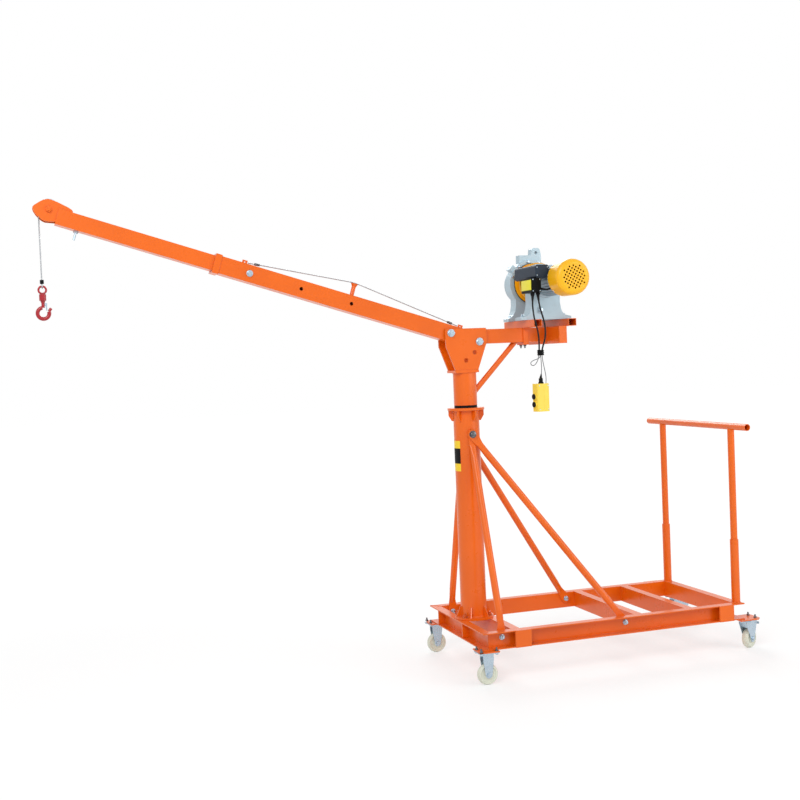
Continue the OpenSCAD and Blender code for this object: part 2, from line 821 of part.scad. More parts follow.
// Motor casing with cooling fins
module motor_body() {
    fins = 28;
    color(cast_grey) on_winch() {
        turned() polygon([
            [0, motor_front], [64, motor_front], [64, near_front], [0, near_front]
        ]);
        for (k = [0 : fins - 1]) rotate([0, (k + 0.5) * 360 / fins, 0])
            translate([60, motor_front + 8, -1.5]) cube([motor_r - 60.5, motor_length - 16, 3]);
    }
}

// Fan cowl: a thin shell with a rounded front and a grid of holes
module fan_cowl() {
    r = cowl_d / 2;
    shell = 4;
    edge = 22;
    color(amber) on_winch() difference() {
        turned() polygon(concat(
            [[0, cowl_front]],
            [for (a = [0 : 15 : 90]) [r - edge + edge * sin(a), cowl_front + edge - edge * cos(a)]],
            [[r, motor_front], [0, motor_front]]
        ));
        turned() polygon([
            [0, cowl_front + shell], [r - edge, cowl_front + shell], [r - 10, cowl_front + 13],
            [r - shell, cowl_front + edge], [r - shell, motor_front - 6], [0, motor_front - 6]
        ]);
        for (i = [-4 : 4]) for (j = [-4 : 4]) if (norm([i, j]) * vent_pitch < r - edge - 4)
            rotate([0, 30, 0]) translate([i * vent_pitch, cowl_front - 1, j * vent_pitch])
                rotate([-90, 0, 0]) cylinder(h = shell + 2, d = vent_d);
    }
}

// Rounded box at the motor's upper side
module capacitor_box() {
    color(slate) on_mast() difference() {
        translate([winch_x - 105, -290, winch_z + 37]) rotate([-90, 0, 0]) linear_extrude(240) union() {
            for (x = [-23, 23]) for (z = [-19, 19]) translate([x, z]) circle(r = 12);
            square([70, 38], center = true);
            square([46, 62], center = true);
        }
        translate([winch_x, 0, winch_z]) rotate([90, 0, 0])
            cylinder(h = 900, r = motor_r + 0.1, center = true);
        translate([winch_x, near_front - 1, winch_z]) rotate([-90, 0, 0])
            cylinder(h = 300, r = 93);
    }
}

// Switch box under the capacitor box, with its two cable glands
module switch_box() {
    top = winch_z + 6;
    color(black) on_mast() {
        translate([242, -290, top - 68]) cube([50, 116, 68]);
        translate([left_route[0][0], left_route[0][1], left_route[0][2]])
            cylinder(h = top - 66 - left_route[0][2], d = 17);
        translate([right_route[0][0], right_route[0][1], right_route[0][2]])
            cylinder(h = top - 66 - right_route[0][2], d = 15);
    }
}

// Rope drum with its end discs
module winch_drum() {
    r = drum_disc_d / 2;
    color(amber) on_winch() turned() polygon([
        [0, drum_near], [r, drum_near], [r, drum_near + 7], [58, drum_near + 9],
        [58, drum_far - 9], [r, drum_far - 7], [r, drum_far], [drum_shaft_r + run, drum_far],
        [drum_shaft_r + run, drum_near + 8], [0, drum_near + 8]
    ]);
}

// ---------- boom ----------

// Boom frame: x runs out along the boom from the pivot and z is square to it
module on_boom() {
    on_mast() translate([-pivot_reach, 0, pivot_height]) rotate([0, boom_angle, 0])
        mirror([1, 0, 0]) children();
}

module outer_boom() {
    w = outer_w;
    color(orange) on_boom() {
        difference() {
            square_tube(-butt_reach, outer_reach - collar_len, w, boom_wall);
            cross_pin(0, 0, pin_d + 2 * run, 2 * w);
            cross_pin(-lock_radius, 0, pin_d + 1, 2 * w);
            cross_pin(extension_bolt, 0, tube_bolt_d + 2 * seat, 2 * w);
            for (k = [1, 2]) cross_pin(extension_bolt - k * extension_step, 0, tube_bolt_d + 1, 2 * w);
        }
        square_tube(outer_reach - collar_len, outer_reach, w + 10, boom_wall + 5);
        translate([post_reach, 0, w / 2]) cylinder(h = post_height - 14, d = 20);
        translate([post_reach, 0, w / 2 + post_height - 14]) cylinder(h = 14, d1 = 20, d2 = 34);
        for (s = [stay_anchor, stay_butt]) difference() {
            translate([s - 12, -3, w / 2]) cube([24, 6, 18]);
            cross_pin(s, w / 2 + 9, stay_d + 1, 20);
        }
    }
}

// Stay cable over the post, tight between its two anchors
module stay_cable() {
    saddle_d = stay_d + 1.6;
    top = outer_w / 2 + post_height + saddle_d / 2 + 0.1;
    foot = outer_w / 2 + 9;
    color(rope_grey) on_boom() {
        rod([stay_butt + 15, 0, foot], [post_reach - 17, 0, top], stay_d);
        rod([post_reach - 20, 0, top], [post_reach + 20, 0, top], saddle_d);
        rod([post_reach + 17, 0, top], [stay_anchor - 15, 0, foot], stay_d);
    }
}

// The extension bolt's two ends in the outer tube's walls
module extension_bolt_ends() {
    y0 = outer_w / 2 - boom_wall;
    color(zinc) on_boom() for (side = [-1, 1]) {
        translate([extension_bolt, side * (y0 + boom_wall / 2 + 7), 0]) rotate([90, 0, 0])
            cylinder(h = boom_wall + 14, d = tube_bolt_d, center = true);
        hex_end(extension_bolt, 0, outer_w / 2, 27, 10, side);
    }
}

module inner_boom() {
    w = inner_w;
    color(orange) on_boom() difference() {
        square_tube(inner_tail, inner_reach, w, boom_wall);
        cross_pin(extension_bolt, 0, tube_bolt_d + 1, 2 * w);
        cross_pin(sheave_reach, sheave_rise, 2 * sheave_r + 12, 30);
        translate([sheave_reach - tip_tail - 4, -w / 2 + boom_wall, w / 2 - boom_wall - 1])
            cube([tip_tail + 20, w - 2 * boom_wall, boom_wall + 2]);
        translate([inner_reach - 95, 0, -w]) cylinder(h = w, d = 10 + 2 * seat);
    }
}

// Stop bolt under the inner tube's end
module stop_bolt() {
    w = inner_w;
    color(zinc) on_boom() {
        translate([inner_reach - 95, 0, -w / 2 - 42]) cylinder(h = 42 + boom_wall, d = 10);
        translate([inner_reach - 95, 0, -w / 2 - 10]) cylinder(h = 10, d = 22, $fn = 6);
        translate([inner_reach - 95, 0, boom_wall - w / 2]) cylinder(h = 8, d = 20, $fn = 6);
    }
}

// Tip cheeks: pointed plates welded inside the inner tube's open-topped end
module tip_cheeks() {
    outline = [
        [67, -13], [60, -23], [46, -36], [32, -45], [16, -52], [1, -55], [-50, -44], [-80, -24],
        [-tip_tail, 0], [-tip_tail, 18], [-95, 25], [-78, 31], [-29, 40], [0, 43], [13, 42],
        [30, 34], [44, 21], [62, 0], [67, -8]
    ];
    color(orange) on_boom() difference() {
        for (side = [-1, 1]) translate([sheave_reach, side * (tip_out - tip_wall / 2), sheave_rise])
            rotate([90, 0, 0]) linear_extrude(tip_wall, center = true) polygon(outline);
        cross_pin(sheave_reach, sheave_rise, sheave_axle_d + 2 * seat, 200);
    }
}

module sheave_bolt() {
    half = tip_out;
    color(orange) on_boom() {
        cross_pin(sheave_reach, sheave_rise, sheave_axle_d, 2 * half + 24);
        for (side = [-1, 1]) hex_end(sheave_reach, sheave_rise, half, 28, 10, side);
    }
}

// Sheave with a deep groove, and the turn of rope that lies in it
module tip_sheave() {
    hub = tip_out - tip_wall - 1;
    color(zinc) on_boom() translate([sheave_reach, 0, sheave_rise]) rotate([90, 0, 0]) {
        rotate_extrude() polygon([
            [sheave_axle_d / 2 + run, -hub], [15, -hub], [15, -9], [sheave_r, -9],
            [sheave_r, -6], [rope_ring_r - 3, -3.1], [rope_ring_r - 3, 3.1], [sheave_r, 6],
            [sheave_r, 9], [15, 9], [15, hub], [sheave_axle_d / 2 + run, hub]
        ]);
        rotate_extrude() translate([rope_ring_r, 0]) circle(d = rope_d);
    }
}

// ---------- rope and hook ----------

// Hoist rope with its doubled tail and the small loop around the hook's eye
module hoist_rope() {
    bar_z = hook_eye_z + 16;
    color(rope_grey) on_mast() {
        rod([rope_x, 0, bar_z + 28], [rope_x, 0, axle_p[2] - rope_drop], rope_d);
        rod([rope_x, rope_d + 0.2, bar_z + 28], [rope_x, rope_d + 0.2, bar_z + 88], rope_d);
        translate([rope_x, 0, bar_z]) rotate([0, 90, 0]) rotate_extrude()
            translate([7.9, 0]) circle(d = rope_d - 0.5);
    }
}

module rope_crimp() {
    bar_z = hook_eye_z + 16;
    color(black) on_mast() translate([rope_x, 3.1, bar_z + 10.8]) cylinder(h = 17.1, d = 17);
}

// Hook eye with its ring, neck and swivel cup
module hook_eye() {
    color(hook_red) on_mast() translate([rope_x, 0, 0]) {
        translate([0, 0, hook_eye_z]) rotate([90, 0, 0]) rotate_extrude()
            translate([16, 0]) circle(d = 9);
        difference() {
            union() {
                translate([0, 0, hook_eye_z - 21]) cylinder(h = 6, d = 16);
                translate([0, 0, hook_eye_z - 47]) cylinder(h = 28, d = 30);
            }
            translate([0, 0, hook_eye_z - 48]) cylinder(h = 17, d = 14 + 2 * run);
        }
    }
}

// Hook with its shank, bowl, flared tip and the ear for the latch
module hook() {
    color(hook_red) on_mast() translate([rope_x, 0, 0]) {
        translate([0, 0, hook_c + 24]) cylinder(h = hook_eye_z - 32 - hook_c - 24, d = 14);
        translate([0, 0, hook_c + 46]) cylinder(h = 8, d1 = 16, d2 = 22);
        translate([0, 0, hook_c]) rotate([90, 0, 0]) rotate([0, 0, 98]) rotate_extrude(angle = 280)
            translate([bowl_r, 0]) circle(d = hook_wall);
        rod([bowl_r * cos(18), 0, hook_c + bowl_r * sin(18)], [bowl_r + 9, 0, hook_c + 21], 13);
        difference() {
            union() {
                translate([latch_x, 0, latch_z]) rotate([90, 0, 0])
                    cylinder(h = 7, d = 11, center = true);
                translate([0, -3.5, latch_z - 5.5]) cube([latch_x, 7, 10]);
            }
            translate([latch_x, 0, latch_z]) rotate([90, 0, 0])
                cylinder(h = 20, d = latch_pin_d + 2 * run, center = true);
        }
    }
}

// Spring latch across the hook's throat
module hook_latch() {
    color(zinc) on_mast() translate([rope_x, 0, 0]) {
        cross_pin(latch_x, latch_z, latch_pin_d, 13);
        for (side = [-1, 1]) translate([latch_x, side * 5.2, latch_z]) rotate([90, 0, 0])
            linear_extrude(1.6, center = true)
                polygon([[-5, 5], [5, 5], [5, -26], [1, -28], [0, -28], [-1, -9], [-5, -5]]);
        translate([latch_x + 2, -6, latch_z - 28]) cube([1.6, 12, 18]);
    }
}

// ---------- pendant control ----------

module left_cable() { color(black) on_mast() swept_cord(left_route, cable_d); }
module right_cable() { color(black) on_mast() swept_cord(right_route, cable_d); }
module pendant_wire() { color(rope_grey) on_mast() swept_cord(wire_route, wire_d); }

module side_wires() {
    color(rope_grey) on_mast() {
        swept_cord(side_wire_route, wire_d);
        swept_cord(loop_route, wire_d);
    }
}

module cable_tie() {
    color(black) on_mast() translate([281, -280, 1512]) cylinder(h = 26, d = 30);
}

module on_handset() {
    on_mast() translate([273, -284, 1247]) children();
}

// Pendant handset: a shell with rounded long edges, its shroud round the buttons and its gland
module pendant() {
    r = 9;
    color(amber) on_handset() {
        rotate([0, 0, handset_turn]) difference() {
            union() {
                linear_extrude(handset_h) offset(r = r) square([66 - 2 * r, 52 - 2 * r], center = true);
                for (z = button_z) translate([-39, 0, z]) rotate([0, 90, 0]) cylinder(h = 12, d = 32);
            }
            for (z = button_z) translate([-42, 0, z]) rotate([0, 90, 0]) cylinder(h = 16, d = 26);
        }
        translate([3, 2, handset_h]) cylinder(h = 25, d = 16);
    }
}

module pendant_buttons() {
    color(black) on_handset() rotate([0, 0, handset_turn]) for (z = button_z)
        translate([-43, 0, z]) rotate([0, 90, 0]) cylinder(h = 17 - seat, d = 25.4);
}

side_rails();
end_beams();
cross_beams();
closing_plates();
caster_plates();
column_tube();
column_foot();
column_head();
left_side_brace();
right_side_brace();
left_rear_brace();
right_rear_brace();
handle_sockets();
handle_posts();
handle_bar();
front_forks();
front_left_wheel();
front_right_wheel();
rear_swivel_plates();
rear_left_fork();
rear_right_fork();
rear_left_wheel();
rear_right_wheel();
rear_left_pedal();
rear_right_pedal();
slew_collar();
mast_tube();
head_cheeks();
boom_pivot_bolt();
luff_lock_bolt();
counter_beam();
beam_strut();
winch_deck();
motor_bell();
gear_case();
motor_body();
fan_cowl();
capacitor_box();
switch_box();
winch_drum();
outer_boom();
stay_cable();
extension_bolt_ends();
inner_boom();
stop_bolt();
tip_cheeks();
sheave_bolt();
tip_sheave();
hoist_rope();
rope_crimp();
hook_eye();
hook();
hook_latch();
left_cable();
right_cable();
pendant_wire();
side_wires();
cable_tie();
pendant();
pendant_buttons();
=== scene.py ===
"""Looks of a portable mini crane: camera, cables, fittings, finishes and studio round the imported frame."""

import json
import math

import bpy
from mathutils import Matrix, Vector


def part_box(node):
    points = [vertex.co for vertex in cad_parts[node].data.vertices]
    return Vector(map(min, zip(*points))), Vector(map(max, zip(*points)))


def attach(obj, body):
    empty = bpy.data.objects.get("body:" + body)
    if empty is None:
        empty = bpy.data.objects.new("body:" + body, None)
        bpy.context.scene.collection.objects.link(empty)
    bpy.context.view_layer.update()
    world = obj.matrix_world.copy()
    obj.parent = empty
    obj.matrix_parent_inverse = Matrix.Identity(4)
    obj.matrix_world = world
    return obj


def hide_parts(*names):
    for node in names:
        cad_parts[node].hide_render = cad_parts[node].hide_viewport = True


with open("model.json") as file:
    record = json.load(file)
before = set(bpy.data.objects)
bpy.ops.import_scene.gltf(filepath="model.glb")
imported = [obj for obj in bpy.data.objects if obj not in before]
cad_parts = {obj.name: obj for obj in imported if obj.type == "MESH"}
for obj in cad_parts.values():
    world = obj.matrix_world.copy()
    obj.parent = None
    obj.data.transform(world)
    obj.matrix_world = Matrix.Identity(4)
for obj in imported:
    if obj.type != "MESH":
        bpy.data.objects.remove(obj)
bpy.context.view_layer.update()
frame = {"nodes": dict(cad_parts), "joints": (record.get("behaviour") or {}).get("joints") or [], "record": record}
nodes = frame["nodes"]
record = frame["record"]
MM = 0.001

# ---------- where things are ----------

column_low, column_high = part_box("column_tube")
mast_x = (column_low.x + column_high.x) / 2


def at(x, y, z):
    """A point given in millimetres from the mast's axis, in metres."""
    return Vector((mast_x + x * MM, y * MM, z * MM))


luff = next(j for j in frame["joints"] if j["name"] == "boom_luff")
pivot = Vector(luff["pos_m"])
boom_angle = math.radians(17.5)
boom_out = Vector((-math.cos(boom_angle), 0, math.sin(boom_angle)))
boom_up = Vector((math.sin(boom_angle), 0, math.cos(boom_angle)))
boom_side = Vector((0, 1, 0))


def on_boom(s, y, n):
    """A point on the boom: s along it from the pivot, y across and n square to it, in millimetres."""
    return pivot + boom_out * (s * MM) + boom_side * (y * MM) + boom_up * (n * MM)


winch = Vector(next(j for j in frame["joints"] if j["name"] == "drum_turn")["pos_m"])


def on_winch(x, y, z):
    """A point in millimetres from the winch's axis."""
    return winch + Vector((x, y, z)) * MM


# ---------- camera ----------


def make_camera():
    yaw, pitch, roll = math.radians(18.15), math.radians(2.0), math.radians(2.37)
    forward = Vector((math.sin(yaw) * math.cos(pitch), math.cos(yaw) * math.cos(pitch), -math.sin(pitch)))
    level = Vector((math.cos(yaw), -math.sin(yaw), 0))
    above = level.cross(forward)
    right = math.cos(roll) * level - math.sin(roll) * above
    up = math.sin(roll) * level + math.cos(roll) * above
    bpy.ops.object.camera_add()
    camera = bpy.context.object
    turn = Matrix((right, up, -forward)).transposed().to_4x4()
    camera.matrix_world = Matrix.Translation(at(-2123, -5449, 1526)) @ turn
    camera.data.sensor_width = 36
    camera.data.lens = 53.78
    camera.data.clip_end = 100
    bpy.context.scene.camera = camera


make_camera()

# ---------- shader node groups ----------


def put(tree, kind, sockets=None, **settings):
    """Adds a node, sets its properties, and fills its sockets with values or links."""
    made = tree.nodes.new(kind)
    for key, value in settings.items():
        setattr(made, key, value)
    for key, value in (sockets or {}).items():
        if isinstance(value, bpy.types.NodeSocket):
            tree.links.new(value, made.inputs[key])
        else:
            made.inputs[key].default_value = value
    return made


def math_node(tree, operation, a, b, c=0.0):
    return put(tree, "ShaderNodeMath", {0: a, 1: b, 2: c}, operation=operation).outputs[0]


def ramp(tree, value, low, high):
    made = put(tree, "ShaderNodeMapRange", {"Value": value, "From Min": low, "From Max": high})
    return made.outputs[0]


def blend_colour(tree, factor, a, b, mode="MIX"):
    sockets = {0: factor, 6: a, 7: b}
    return put(tree, "ShaderNodeMix", sockets, data_type="RGBA", blend_type=mode).outputs[2]


def noise(tree, where, scale, detail=3.0, rough=0.55):
    sockets = {"Vector": where, "Scale": scale, "Detail": detail, "Roughness": rough}
    return put(tree, "ShaderNodeTexNoise", sockets).outputs[0]


def new_group(name, inputs, outputs):
    tree = bpy.data.node_groups.new(name, "ShaderNodeTree")
    for label, kind, value in inputs:
        socket = tree.interface.new_socket(label, in_out="INPUT", socket_type=kind)
        socket.default_value = value
    for label, kind in outputs:
        tree.interface.new_socket(label, in_out="OUTPUT", socket_type=kind)
    return tree, tree.nodes.new("NodeGroupInput"), tree.nodes.new("NodeGroupOutput")


COLOUR, FLOAT = "NodeSocketColor", "NodeSocketFloat"


def build_worn_edges():
    """A mask that is 1 where an outer edge is rubbed through."""
    tree, given, result = new_group(
        "worn_edges", [("Width", FLOAT, 0.0015), ("Amount", FLOAT, 0.5)], [("Mask", FLOAT)]
    )
    where = put(tree, "ShaderNodeTexCoord").outputs["Object"]
    bevel = put(tree, "ShaderNodeBevel", {"Radius": given.outputs["Width"]}, samples=4)
    true_normal = put(tree, "ShaderNodeNewGeometry").outputs["True Normal"]
    dot = put(tree, "ShaderNodeVectorMath", {0: bevel.outputs[0], 1: true_normal}, operation="DOT_PRODUCT")
    edge = math_node(tree, "SUBTRACT", 1.0, dot.outputs["Value"])
    patch = noise(tree, where, 34.0, 5.0, 0.7)
    need = math_node(tree, "MULTIPLY", edge, 5.0)
    level = math_node(tree, "MULTIPLY", need, patch)
    limit = math_node(tree, "SUBTRACT", 1.0, given.outputs["Amount"])
    above = math_node(tree, "SUBTRACT", level, limit)
    tree.links.new(ramp(tree, above, 0.0, 0.22), result.inputs["Mask"])
    return tree


def build_paint_tone():
    """Sprayed enamel: slow colour drift, fine orange peel, scuffs and settled dust."""
    tree, given, result = new_group(
        "paint_tone",
        [("Colour", COLOUR, (0.8, 0.2, 0.05, 1)), ("Dust", FLOAT, 0.25), ("Scuffs", FLOAT, 0.4)],
        [("Colour", COLOUR), ("Roughness", FLOAT), ("Height", FLOAT)],
    )
    where = put(tree, "ShaderNodeTexCoord").outputs["Object"]
    drift = noise(tree, where, 2.6, 3.0)
    peel = noise(tree, where, 420.0, 1.0)
    cloud = noise(tree, where, 11.0, 6.0, 0.65)
    stretched = put(tree, "ShaderNodeMapping", {"Vector": where, "Scale": (9.0, 60.0, 60.0)})
    scratch = ramp(tree, noise(tree, stretched.outputs[0], 4.0, 6.0, 0.75), 0.66, 0.74)
    darker = blend_colour(tree, 0.14, given.outputs["Colour"], (0.25, 0.03, 0.0, 1), "MULTIPLY")
    toned = blend_colour(tree, ramp(tree, drift, 0.35, 0.65), given.outputs["Colour"], darker)
    normal = put(tree, "ShaderNodeNewGeometry").outputs["Normal"]
    up = put(tree, "ShaderNodeSeparateXYZ", {0: normal}).outputs[2]
    lying = math_node(tree, "MULTIPLY", ramp(tree, up, 0.3, 1.0), ramp(tree, cloud, 0.42, 0.7))
    dusty = math_node(tree, "MULTIPLY", lying, given.outputs["Dust"])
    with_dust = blend_colour(tree, dusty, toned, (0.62, 0.55, 0.48, 1))
    scuff = math_node(tree, "MULTIPLY", scratch, given.outputs["Scuffs"])
    scuffed = blend_colour(tree, math_node(tree, "MULTIPLY", scuff, 0.35), with_dust, (0.95, 0.62, 0.45, 1))
    tree.links.new(scuffed, result.inputs["Colour"])
    rough = math_node(tree, "MULTIPLY_ADD", cloud, 0.18, 0.2)
    tree.links.new(math_node(tree, "MULTIPLY_ADD", scuff, 0.25, rough), result.inputs["Roughness"])
    height = math_node(tree, "MULTIPLY_ADD", scuff, -0.4, peel)
    tree.links.new(height, result.inputs["Height"])
    return tree


def build_metal_tone():
    """Plated or bare metal: crystal patches, a fine bump and a little tarnish."""
    tree, given, result = new_group(
        "metal_tone",
        [("Colour", COLOUR, (0.6, 0.63, 0.66, 1)), ("Tarnish", FLOAT, 0.3), ("Spangle", FLOAT, 0.4)],
        [("Colour", COLOUR), ("Roughness", FLOAT), ("Height", FLOAT)],
    )
    where = put(tree, "ShaderNodeTexCoord").outputs["Object"]
    cells = put(tree, "ShaderNodeTexVoronoi", {"Vector": where, "Scale": 160.0}).outputs["Color"]
    grey = put(tree, "ShaderNodeSeparateColor", {0: cells}).outputs[0]
    cloud = noise(tree, where, 14.0, 6.0, 0.7)
    fine = noise(tree, where, 520.0, 2.0)
    patch = math_node(tree, "MULTIPLY", grey, given.outputs["Spangle"])
    lighter = blend_colour(tree, patch, given.outputs["Colour"], (0.82, 0.85, 0.88, 1))
    stain = math_node(tree, "MULTIPLY", ramp(tree, cloud, 0.5, 0.78), given.outputs["Tarnish"])
    tree.links.new(blend_colour(tree, stain, lighter, (0.24, 0.21, 0.19, 1)), result.inputs["Colour"])
    rough = math_node(tree, "MULTIPLY_ADD", stain, 0.35, 0.26)
    tree.links.new(math_node(tree, "MULTIPLY_ADD", patch, 0.12, rough), result.inputs["Roughness"])
    tree.links.new(fine, result.inputs["Height"])
    return tree


def build_moulded_tone():
    """Moulded plastic, rubber or a sand casting: grain, faint blotches and darker dirt in random patches."""
    tree, given, result = new_group(
        "moulded_tone",
        [
            ("Colour", COLOUR, (0.9, 0.6, 0.05, 1)), ("Grain", FLOAT, 300.0),
            ("Dirt", FLOAT, 0.2), ("Shine", FLOAT, 0.35),
        ],
        [("Colour", COLOUR), ("Roughness", FLOAT), ("Height", FLOAT)],
    )
    where = put(tree, "ShaderNodeTexCoord").outputs["Object"]
    grain = noise(tree, where, given.outputs["Grain"], 3.0, 0.6)
    blotch = noise(tree, where, 8.0, 5.0, 0.6)
    dirt = math_node(tree, "MULTIPLY", ramp(tree, blotch, 0.48, 0.72), given.outputs["Dirt"])
    dirtied = blend_colour(tree, dirt, given.outputs["Colour"], (0.10, 0.08, 0.06, 1))
    tree.links.new(dirtied, result.inputs["Colour"])
    rough = math_node(tree, "MULTIPLY_ADD", blotch, 0.2, given.outputs["Shine"])
    tree.links.new(rough, result.inputs["Roughness"])
    tree.links.new(grain, result.inputs["Height"])
    return tree


worn_edges, paint_tone = build_worn_edges(), build_paint_tone()
metal_tone, moulded_tone = build_metal_tone(), build_moulded_tone()

# ---------- materials ----------


def start_material(name):
    made = bpy.data.materials.new(name)
    made.use_nodes = True
    tree = made.node_tree
    return made, tree, tree.nodes["Principled BSDF"]


def use_group(tree, group, **values):
    made = tree.nodes.new("ShaderNodeGroup")
    made.node_tree = group
    for key, value in values.items():
        made.inputs[key].default_value = value
    return made


def finish_surface(tree, shader, tone, bump, edge=0.001):
    rounded = put(tree, "ShaderNodeBevel", {"Radius": edge}, samples=4)
    sockets = {"Height": tone.outputs["Height"], "Normal": rounded.outputs[0], "Distance": bump}
    raised = put(tree, "ShaderNodeBump", sockets)
    tree.links.new(raised.outputs[0], shader.inputs["Normal"])


def enamel(name, colour, bare, wear=0.32, dust=0.1, coat=0.15, edge=0.0012):
    made, tree, shader = start_material(name)
    tone = use_group(tree, paint_tone, Colour=(*colour, 1), Dust=dust, Scuffs=0.35)
    rub = use_group(tree, worn_edges, Amount=wear, Width=0.0018)
    rubbed = rub.outputs["Mask"]
    shown = blend_colour(tree, rubbed, tone.outputs["Colour"], (*bare, 1))
    tree.links.new(shown, shader.inputs["Base Color"])
    rough = math_node(tree, "MULTIPLY_ADD", rubbed, 0.2, tone.outputs["Roughness"])
    tree.links.new(rough, shader.inputs["Roughness"])
    shader.inputs["Coat Weight"].default_value = coat
    shader.inputs["Coat Roughness"].default_value = 0.18
    shader.inputs["Specular IOR Level"].default_value = 0.35
    finish_surface(tree, shader, tone, 0.00006, edge)
    return made


def plated(name, colour, tarnish=0.3, spangle=0.4, metallic=0.85, strands=0.0):
    """Plated metal, with laid strands of that many waves to the metre when it is rope, drawn as painted shade in
    the grooves between strands.
    """
    made, tree, shader = start_material(name)
    tone = use_group(tree, metal_tone, Colour=(*colour, 1), Tarnish=tarnish, Spangle=spangle)
    shown = tone.outputs["Colour"]
    if strands:
        where = put(tree, "ShaderNodeTexCoord").outputs["Object"]
        lay = put(tree, "ShaderNodeTexWave", {"Vector": where, "Scale": strands}, bands_direction="DIAGONAL")
        # Painted shade: the grooves between the rope's strands are darkened in the colour, with no relief to cast
        # it.
        strand_groove_shade = ramp(tree, lay.outputs["Fac"], 0.05, 0.55)
        shown = blend_colour(tree, strand_groove_shade, (0.19, 0.20, 0.21, 1), shown)
    tree.links.new(shown, shader.inputs["Base Color"])
    tree.links.new(tone.outputs["Roughness"], shader.inputs["Roughness"])
    shader.inputs["Metallic"].default_value = metallic
    finish_surface(tree, shader, tone, 0.00004, 0.0006)
    return made


def moulded(
    name, colour, grain=300.0, dirt=0.15, shine=0.3, bump=0.0001, metallic=0.0, edge=0.001, gloss=0.5
):
    made, tree, shader = start_material(name)
    tone = use_group(tree, moulded_tone, Colour=(*colour, 1), Grain=grain, Dirt=dirt, Shine=shine)
    tree.links.new(tone.outputs["Colour"], shader.inputs["Base Color"])
    tree.links.new(tone.outputs["Roughness"], shader.inputs["Roughness"])
    shader.inputs["Metallic"].default_value = metallic
    shader.inputs["Specular IOR Level"].default_value = gloss
    finish_surface(tree, shader, tone, bump, edge)
    return made


finishes = {
    "frame_paint": enamel("orange_enamel", (0.83, 0.138, 0.002), (0.32, 0.12, 0.06)),
    "zinc_plate": plated("bright_zinc", (0.44, 0.55, 0.64), 0.2, 0.14),
    "cast_housing": moulded("grey_casting", (0.45, 0.58, 0.65), 240.0, 0.2, 0.32, 0.0003, 0.2),
    "drum_paint": enamel("amber_enamel", (0.90, 0.42, 0.008), (0.30, 0.20, 0.10), 0.25),
    "cowl_plastic": moulded("yellow_cowl", (0.93, 0.47, 0.004), 420.0, 0.06, 0.22, 0.00005, gloss=0.4),
    "slate_plastic": moulded("slate_plastic", (0.018, 0.032, 0.054), 500.0, 0.03, 0.42, 0.0001, gloss=0.3),
    "black_plastic": moulded(
        "black_plastic", (0.0022, 0.0028, 0.0034), 500.0, 0.01, 0.42, 0.0001, gloss=0.14
    ),
    "wheel_nylon": moulded("cream_nylon", (0.70, 0.72, 0.60), 260.0, 0.18, 0.3, 0.0002),
    "wire_rope": plated("galvanised_rope", (0.52, 0.54, 0.56), 0.35, 0.2, strands=105.0),
    "hook_paint": enamel("red_enamel", (0.42, 0.010, 0.020), (0.28, 0.24, 0.22), 0.42, 0.05, 0.3),
    "cable_rubber": moulded("cable_rubber", (0.006, 0.006, 0.007), 700.0, 0.04, 0.45, 0.0001, gloss=0.25),
    "thin_wire": moulded("thin_wire", (0.11, 0.12, 0.13), 700.0, 0.15, 0.4, 0.0001),
    "handset_plastic": moulded("handset_yellow", (0.90, 0.66, 0.07), 380.0, 0.08, 0.28, 0.00008),
}
painted_bolt = enamel("painted_bolt", (0.62, 0.095, 0.008), (0.24, 0.16, 0.12), 0.5)
dark_steel = plated("dark_steel", (0.12, 0.12, 0.13), 0.5, 0.1)
plain_yellow = moulded("plain_yellow_plate", (0.84, 0.78, 0.02), 300.0, 0.05, 0.3, 0.00003)
sticker_yellow = moulded("sticker_yellow", (0.90, 0.62, 0.03), 300.0, 0.08, 0.3, 0.00003, gloss=0.3)

slot_of = {part["node"]: part["material_slot"] for part in record["subparts"]}
for name, piece in nodes.items():
    piece.data.materials.clear()
    piece.data.materials.append(finishes[slot_of[name]])

# ---------- modelling helpers ----------


def clear_selection():
    if bpy.context.object and bpy.context.object.mode != "OBJECT":
        bpy.ops.object.mode_set(mode="OBJECT")
    bpy.ops.object.select_all(action="DESELECT")


def settle(piece):
    """Puts a piece's place into its mesh, so that its object sits at the origin."""
    clear_selection()
    piece.select_set(True)
    bpy.context.view_layer.objects.active = piece
    bpy.ops.object.transform_apply(location=True, rotation=True, scale=True)
    return piece


def smooth(piece):
    clear_selection()
    piece.select_set(True)
    bpy.context.view_layer.objects.active = piece
    bpy.ops.object.shade_smooth_by_angle(angle=math.radians(35))


def bevel_edges(piece, width, segments=2):
    clear_selection()
    bpy.context.view_layer.objects.active = piece
    piece.select_set(True)
    made = piece.modifiers.new("edge", "BEVEL")
    made.width = width
    made.segments = segments
    made.limit_method = "ANGLE"
    made.angle_limit = math.radians(30)
    bpy.ops.object.modifier_apply(modifier="edge")
    return piece


def facing(point, direction, spin=0.0):
    """The matrix that takes a shape made on the z axis to a point, looking along a direction."""
    turn = Vector(direction).normalized().to_track_quat("Z", "Y").to_matrix().to_4x4()
    return Matrix.Translation(point) @ turn @ Matrix.Rotation(spin, 4, "Z")


def own_copy(piece, matrix):
    made = piece.copy()
    made.data = piece.data.copy()
    made.data.transform(matrix)
    bpy.context.scene.collection.objects.link(made)
    return made


def join(pieces, name):
    clear_selection()
    for piece in pieces:
        piece.select_set(True)
    bpy.context.view_layer.objects.active = pieces[0]
    if len(pieces) > 1:
        bpy.ops.object.join()
    whole = bpy.context.view_layer.objects.active
    whole.name = name
    return whole


def ready(piece, body, slot, material=None):
    """Gives a piece the finish of its slot, unless another is named, and the body it rides."""
    piece.data.materials.clear()
    piece.data.materials.append(material or finishes[slot])
    smooth(piece)
    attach(piece, body)


